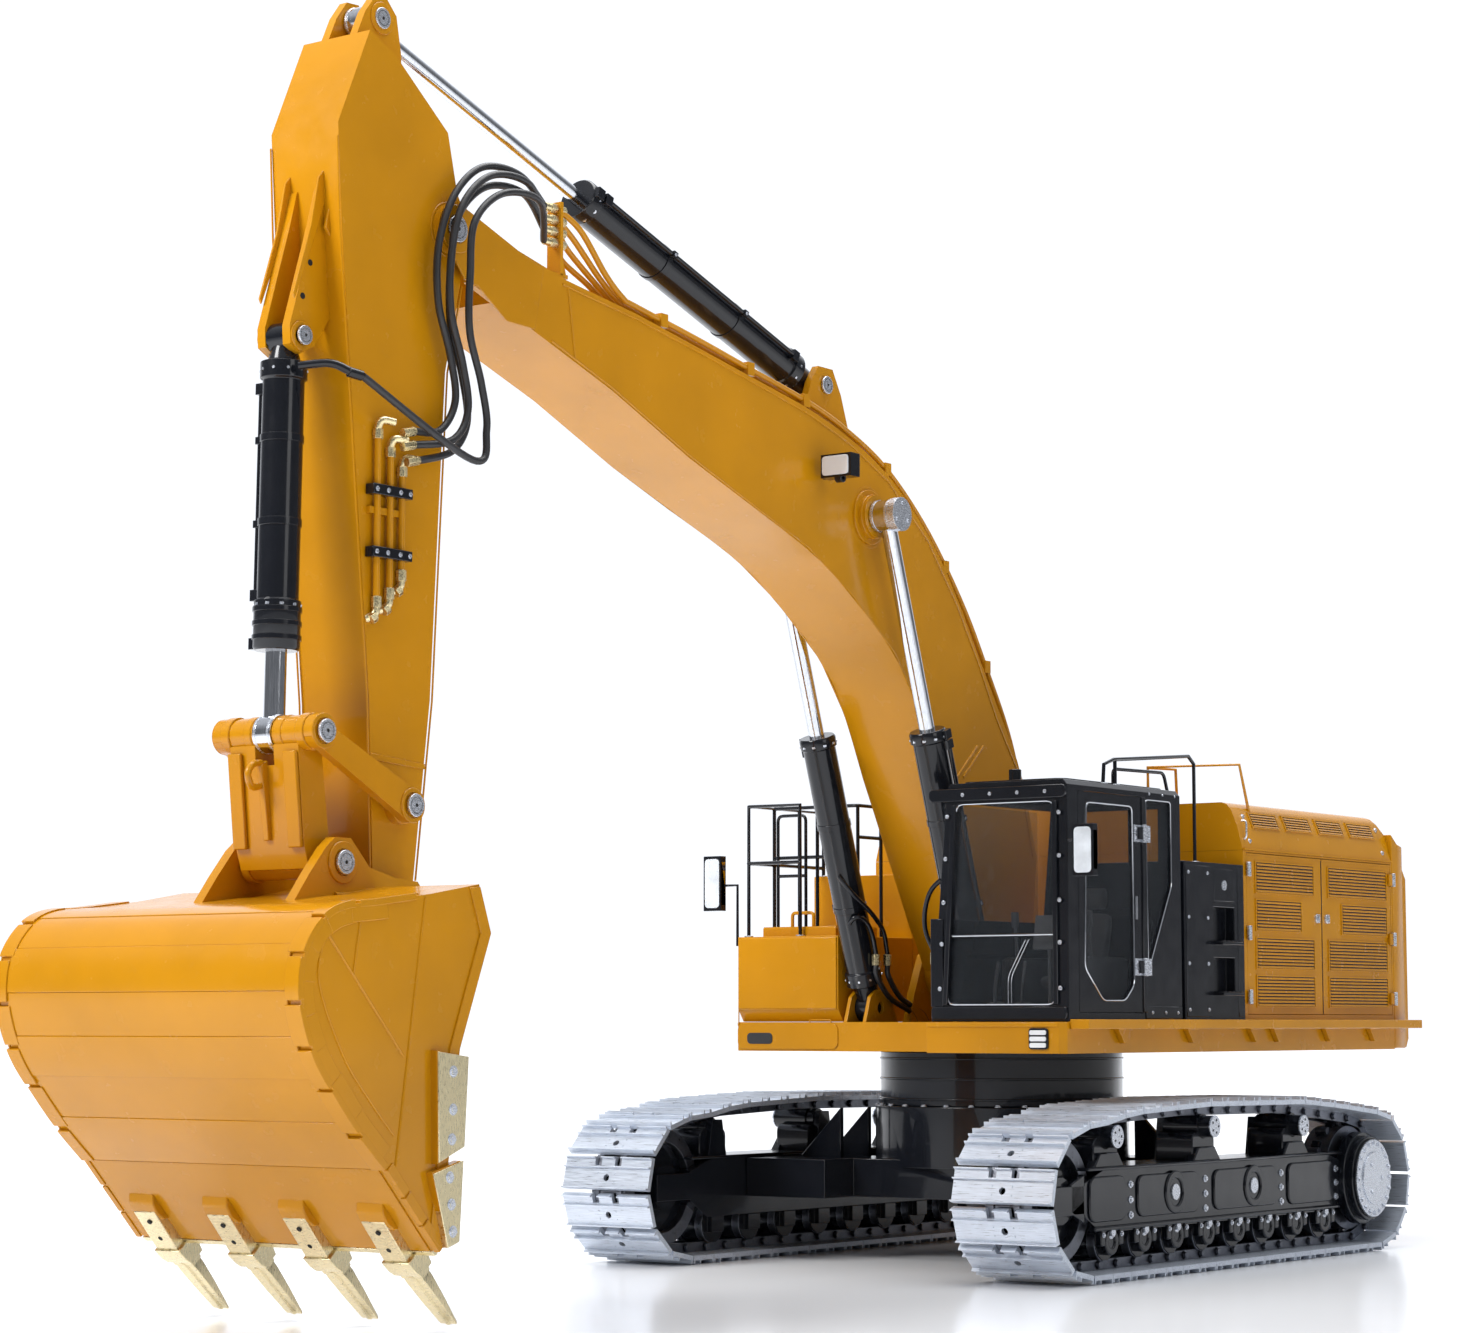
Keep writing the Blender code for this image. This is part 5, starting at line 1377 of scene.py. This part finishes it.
# ---- tracks: a closed path through the chain's pins, one shoe and one pair of links for each span
SHOE_PITCH = 0.0325
PIN_RADIUS = 0.0602
TOP_RUN = mm([(205, 154.5), (128, 160), (-70, 161.5), (-215, 156.5), (-272, 147)])


def pin_path():
    top = [(y, z - 0.0128) for y, z in TOP_RUN]
    rear = arc((WHEEL_Y, WHEEL_Z), PIN_RADIUS, -90, 90, 40)
    front = arc((-WHEEL_Y, WHEEL_Z), PIN_RADIUS, 90, 270, 40)
    path = [Vector(p) for p in rear + top + front]
    lengths = [(b - a).length for a, b in zip(path, path[1:] + path[:1])]
    count = round(sum(lengths) / SHOE_PITCH)
    pins = []
    for k in range(count):
        rest = k * sum(lengths) / count
        i = 0
        while rest > lengths[i]:
            rest -= lengths[i]
            i += 1
        pins.append(path[i].lerp(path[(i + 1) % len(path)], rest / lengths[i]))
    return pins


def one_shoe():
    """A milled shoe at the origin: x across, y along the chain, z out, with ribs, notches and holes."""
    half = 0.0520
    kit = Kit("work_shoe", None, SHOE, 0.0)
    kit.prism("X", mm([(-16.0, 4.8), (16.0, 4.8), (16.0, 9.3), (-16.0, 9.3)]), -half, half)
    for low, high, top in ((-16.0, -13.9, 12.4), (-6.6, -4.6, 12.8), (13.8, 15.9, 12.8)):
        rib = mm([(low, 9.0), (high, 9.0), (high - 0.5, top), (low + 0.5, top)])
        kit.prism("X", rib, -half, half)
    base = kit.done(shown=False)
    kit = Kit("work_cut", None, SHOE, 0.0)
    for x in (-0.0120, 0.0120):
        kit.box((x - 0.0040, x + 0.0040), (-0.0180, -0.0072), (0.0, 0.02))
    kit.disc("Z", (0.0, 0.0045), 0.0034, 0.0, 0.02, 16)
    for x in (-0.0105, 0.0105):
        for y in (0.0005, 0.0085):
            kit.disc("Z", (x, y), 0.0009, 0.0087, 0.02, 8)
    cutter = kit.done(shown=False)
    step = base.modifiers.new("cut", "BOOLEAN")
    step.operation = "DIFFERENCE"
    step.use_self = True
    step.object = cutter
    return base, cutter


def evaluated(base, *others):
    """The points and faces of a working object, which is then removed with its helpers."""
    graph = bpy.context.evaluated_depsgraph_get()
    mesh = base.evaluated_get(graph).to_mesh()
    points = [v.co - Vector((0, SLEW_Y, 0)) for v in mesh.vertices]
    faces = [tuple(p.vertices) for p in mesh.polygons]
    for made in (base, *others):
        bpy.data.objects.remove(made, do_unlink=True)
    return points, faces


SHOE_MESH = evaluated(*one_shoe())


def place_copy(kit, shape, where):
    points, faces = shape
    made = [kit.bm.verts.new(where @ p) for p in points]
    for face in faces:
        kit.bm.faces.new([made[i] for i in face])


def belt(side, sign):
    shoes = Kit("shoes_" + side, "undercarriage", SHOE, 0.0003)
    links = Kit("chain_" + side, "undercarriage", LINK, 0.0003)
    pins = pin_path()
    for first, second in zip(pins, pins[1:] + pins[:1]):
        along = (second - first).normalized()
        out = Vector((along.y, -along.x))
        middle = (first + second) / 2
        where = Matrix(
            (
                (1, 0, 0, sign * TRACK_X),
                (0, along.x, out.x, middle.x),
                (0, along.y, out.y, middle.y),
                (0, 0, 0, 1),
            )
        )
        place_copy(shoes, SHOE_MESH, where)
        half = (second - first).length / 2
        for x in (-0.0135, 0.0135):
            plate = arc((-half, 0), 0.0046, 90, 270, 7) + arc((half, 0), 0.0046, -90, 90, 7)
            plate += [(half * 0.5, 0.0052), (-half * 0.5, 0.0052)]
            low, high = x - 0.0032, x + 0.0032
            ends = [[where @ Vector((c, a, b)) for a, b in plate] for c in (low, high)]
            links.skin(ends)
        a = Vector((sign * TRACK_X, first.x, first.y))
        links.rod(a - Vector((0.0205, 0, 0)), a + Vector((0.0205, 0, 0)), 0.0030, 12)
    piece = shoes.done()
    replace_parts(piece, "track_belt_" + side)
    links.done()


for side, sign in SIDES:
    belt(side, sign)

# ---- undercarriage: side frames, rollers, hubs and bolts
ROLLER_Y = [-0.215 + 0.0617 * i for i in range(8)]
for side, sign in SIDES:
    body = "undercarriage"
    plates = Kit("frame_plates_" + side, body, BLACK, 0.0012)
    steel = Kit("frame_bolts_" + side, body, STEEL, 0.0)
    worn = Kit("roller_rims_" + side, body, LINK, 0.0004)

    def out(low, high):
        return across(sign, low, high)

    panels = (
        ((-0.256, -0.190), (0.0520, 0.0930)),
        ((-0.168, -0.050), (0.0535, 0.0920)),
        ((-0.020, 0.110), (0.0535, 0.0920)),
        ((0.135, 0.236), (0.0520, 0.0930)),
    )
    for y, z in panels:
        plates.round_box("X", y, z, out(0.2485, 0.2512), 0.010)
    for y in (-0.215, -0.028, 0.159):
        plates.round_box("X", (y - 0.022, y + 0.022), (0.0960, 0.1280), out(0.2040, 0.2440), 0.008)
        plates.prism(
            "X",
            [(y - 0.030, 0.098), (y + 0.030, 0.098), (y + 0.016, 0.114), (y - 0.016, 0.114)],
            *out(0.2380, 0.2480),
        )
    plates.box(out(0.1955, 0.2525), (-0.260, 0.253), (0.0985, 0.1015))
    plates.box(out(0.2450, 0.2530), (-0.250, 0.245), (0.0440, 0.0480))
    for y in (-0.179, -0.035, 0.122, 0.243):
        for z in (0.056, 0.070, 0.084):
            steel.bolt((sign * 0.2490, y, z), (sign, 0, 0), 0.0026, 0.0022)
    for y in (-0.098, 0.060):
        plates.ring("X", (y, 0.0740), 0.0200, 0.0130, *out(0.2500, 0.2530), 40)
        steel.disc("X", (y, 0.0740), 0.0075, *out(0.2500, 0.2524), 32)
    for y in ROLLER_Y:
        steel.bolt((sign * 0.2484, y, 0.0420), (sign, 0, 0), 0.0046, 0.0032)
        for x in (0.2045, 0.2330):
            low, high = sorted((sign * x, sign * (x + 0.0085)))
            worn.disc("X", (y, 0.0335), 0.0186, low, high, 36)
        plates.ring("X", (y, 0.0335), 0.0125, 0.0060, *out(0.2415, 0.2500), 28)
        for dy in (-0.0165, 0.0165):
            plates.box(out(0.2430, 0.2505), (y + dy - 0.004, y + dy + 0.004), (0.0300, 0.0470))
            steel.bolt((sign * 0.2504, y + dy, 0.0400), (sign, 0, 0), 0.0018, 0.0016)
    plates.prism("X", mm([(-286, 62), (-262, 52), (-262, 96), (-286, 88)]), *out(0.2420, 0.2490))
    for piece in (plates, steel, worn):
        piece.done()

    hub = Kit("sprocket_cover_" + side, "sprocket_" + side, STEEL, 0.0005)
    hub.disc("X", (WHEEL_Y, WHEEL_Z), 0.0395, *out(0.2655, 0.2675), 64)
    hub.disc("X", (WHEEL_Y, WHEEL_Z), 0.0270, *out(0.2670, 0.2690), 64)
    hub.done()
    heads = Kit("sprocket_bolts_" + side, "sprocket_" + side, STEEL, 0.0)
    for spot in arc((WHEEL_Y, WHEEL_Z), 0.0355, 0, 360, 20):
        heads.bolt((sign * 0.2674, *spot), (sign, 0, 0), 0.0021, 0.0018)
    for spot in arc((WHEEL_Y, WHEEL_Z), 0.0160, 0, 360, 3):
        heads.bolt((sign * 0.2689, *spot), (sign, 0, 0), 0.0024, 0.0012)
    heads.done()
    teeth = Kit("sprocket_teeth_" + side, "sprocket_" + side, LINK, 0.0003)
    for k in range(12):
        spot = around((WHEEL_Y, WHEEL_Z), 0.0555, 30.0 * k)
        teeth.rod((sign * 0.2165, *spot), (sign * 0.2295, *spot), 0.0042, 10)
    teeth.disc("X", (WHEEL_Y, WHEEL_Z), 0.0530, *out(0.2080, 0.2380), 48)
    teeth.done()
    shell = Kit("final_drive_" + side, "sprocket_" + side, BLACK, 0.0010)
    shell.disc("X", (WHEEL_Y, WHEEL_Z), 0.0470, *out(0.2450, 0.2560), 64)
    shell.disc("X", (WHEEL_Y, WHEEL_Z), 0.0430, *out(0.2550, 0.2640), 64)
    shell.done()
    for p, y in (("front", -0.215), ("mid", -0.028), ("rear", 0.159)):
        z = JOINTS["carrier_%s_%s_spin" % (p, side)].z
        node = "carrier_%s_%s" % (p, side)
        end = Kit(node + "_end", node, STEEL, 0.0004)
        end.disc("X", (y, z), 0.0105, *out(0.2555, 0.2575), 40)
        end.done()
        # Near-black dots on the end cap: painted shade of its holes.
        dots = Kit(node + "_holes", node, HOLE, 0.0)
        for spot in arc((y, z), 0.0062, 0, 360, 5):
            dots.disc("X", spot, 0.0012, *out(0.2574, 0.2577), 12)
        dots.done()
    wheel = Kit("idler_rim_" + side, "idler_" + side, LINK, 0.0004)
    wheel.ring("X", (-WHEEL_Y, WHEEL_Z), 0.0568, 0.0440, *out(0.2060, 0.2400), 64)
    wheel.done()

rim_bolts = Kit("car_body_bolts", "undercarriage", STEEL, 0.0)
for x, y in arc((0, 0), 0.1250, 0, 360, 30):
    rim_bolts.bolt((x, y, 0.1502), (0, 0, 1), 0.0024, 0.0020)
rim_bolts.done()
ring = Kit("slew_ring_seams", "undercarriage", BLACK, 0.0006)
for z in (0.1560, 0.1760, 0.1960):
    ring.ring("Z", (0, 0), 0.1232, 0.1200, z, z + 0.0022, 96)
ring.done()
arms = Kit("car_body_ribs", "undercarriage", BLACK, 0.0010)
for side in (-1, 1):
    for y in (-0.110, -0.060, 0.060, 0.110):
        arms.prism(
            "Y",
            [(side * 0.120, 0.1480), (side * 0.168, 0.1000), (side * 0.168, 0.0960), (side * 0.120, 0.0960)],
            y - 0.003,
            y + 0.003,
        )
arms.done()

# ---- floor and light
floor_mesh = bpy.data.meshes.new("floor")
floor_mesh.from_pydata([(-30, -30, 0), (30, -30, 0), (30, 30, 0), (-30, 30, 0)], [], [(0, 1, 2, 3)])
floor = bpy.data.objects.new("floor", floor_mesh)
floor.location.z = -0.0005
bpy.context.scene.collection.objects.link(floor)
pale = Nodes("studio_floor", "", 0.16, 0.0)
pale.link(
    pale.ramp(pale.noise(2.0), 0.3, 0.7, (0.90, 0.91, 0.93), (0.94, 0.95, 0.97)),
    pale.shader,
    "Base Color",
)
# The floor glows, more with distance from the machine: painted light that brightens the far floor to white.
away = pale.tree.nodes.new("ShaderNodeVectorMath")
away.operation = "LENGTH"
pale.link(pale.place, away, 0)
floor_glow_ramp = pale.tree.nodes.new("ShaderNodeMapRange")
floor_glow_ramp.interpolation_type = "SMOOTHSTEP"
floor_glow_ramp.inputs["From Min"].default_value = 1.0
floor_glow_ramp.inputs["From Max"].default_value = 2.2
floor_glow_ramp.inputs["To Max"].default_value = 0.40
pale.link(away.outputs["Value"], floor_glow_ramp, "Value")
pale.shader.inputs["Emission Color"].default_value = (1, 1, 1, 1)
pale.link(floor_glow_ramp.outputs["Result"], pale.shader, "Emission Strength")
floor_mesh.materials.append(pale.material)


def studio_world():
    """A white wall behind the machine and a soft ceiling, with a dimmer room on the camera's side."""
    made = bpy.data.worlds.new("studio")
    made.use_nodes = True
    nodes, links = made.node_tree.nodes, made.node_tree.links
    way = nodes.new("ShaderNodeTexCoord").outputs["Generated"]
    facing = nodes.new("ShaderNodeVectorMath")
    facing.operation = "DOT_PRODUCT"
    facing.inputs[1].default_value = (-0.589, 0.808, 0.0)
    links.new(way, facing.inputs[0])
    height = nodes.new("ShaderNodeSeparateXYZ")
    links.new(way, height.inputs["Vector"])
    shares = []
    for source, low, high, top in (
        (facing.outputs["Value"], 0.45, 0.88, 0.86), (height.outputs["Z"], 0.25, 0.9, 0.60),
    ):
        part = nodes.new("ShaderNodeMapRange")
        part.interpolation_type = "SMOOTHSTEP"
        part.inputs["From Min"].default_value = low
        part.inputs["From Max"].default_value = high
        part.inputs["To Max"].default_value = top
        links.new(source, part.inputs["Value"])
        shares.append(part.outputs["Result"])
    total = nodes.new("ShaderNodeMath")
    links.new(shares[0], total.inputs[0])
    links.new(shares[1], total.inputs[1])
    lift = nodes.new("ShaderNodeMath")
    lift.inputs[1].default_value = 0.19
    links.new(total.outputs["Value"], lift.inputs[0])
    links.new(lift.outputs["Value"], nodes["Background"].inputs["Strength"])
    nodes["Background"].inputs["Color"].default_value = (0.97, 1.0, 1.06, 1)
    return made


bpy.context.scene.world = studio_world()
bpy.context.scene.view_settings.view_transform = "Standard"


def lamp(name, place, target, size, power):
    data = bpy.data.lights.new(name, "AREA")
    data.shape = "RECTANGLE"
    data.size = size[0]
    data.size_y = size[1]
    data.energy = power
    made = bpy.data.objects.new(name, data)
    made.location = place
    aim = Vector(target) - Vector(place)
    made.rotation_euler = aim.to_track_quat("-Z", "Y").to_euler()
    bpy.context.scene.collection.objects.link(made)


lamp("key", (-1.2, -3.4, 2.7), (0, -0.2, 0.5), (1.4, 1.4), 130)
lamp("fill", (3.4, -1.0, 1.6), (0, 0.1, 0.4), (1.2, 1.2), 10)
lamp("ceiling", (0.0, 0.3, 3.6), (0, 0, 0), (3.0, 3.0), 130)
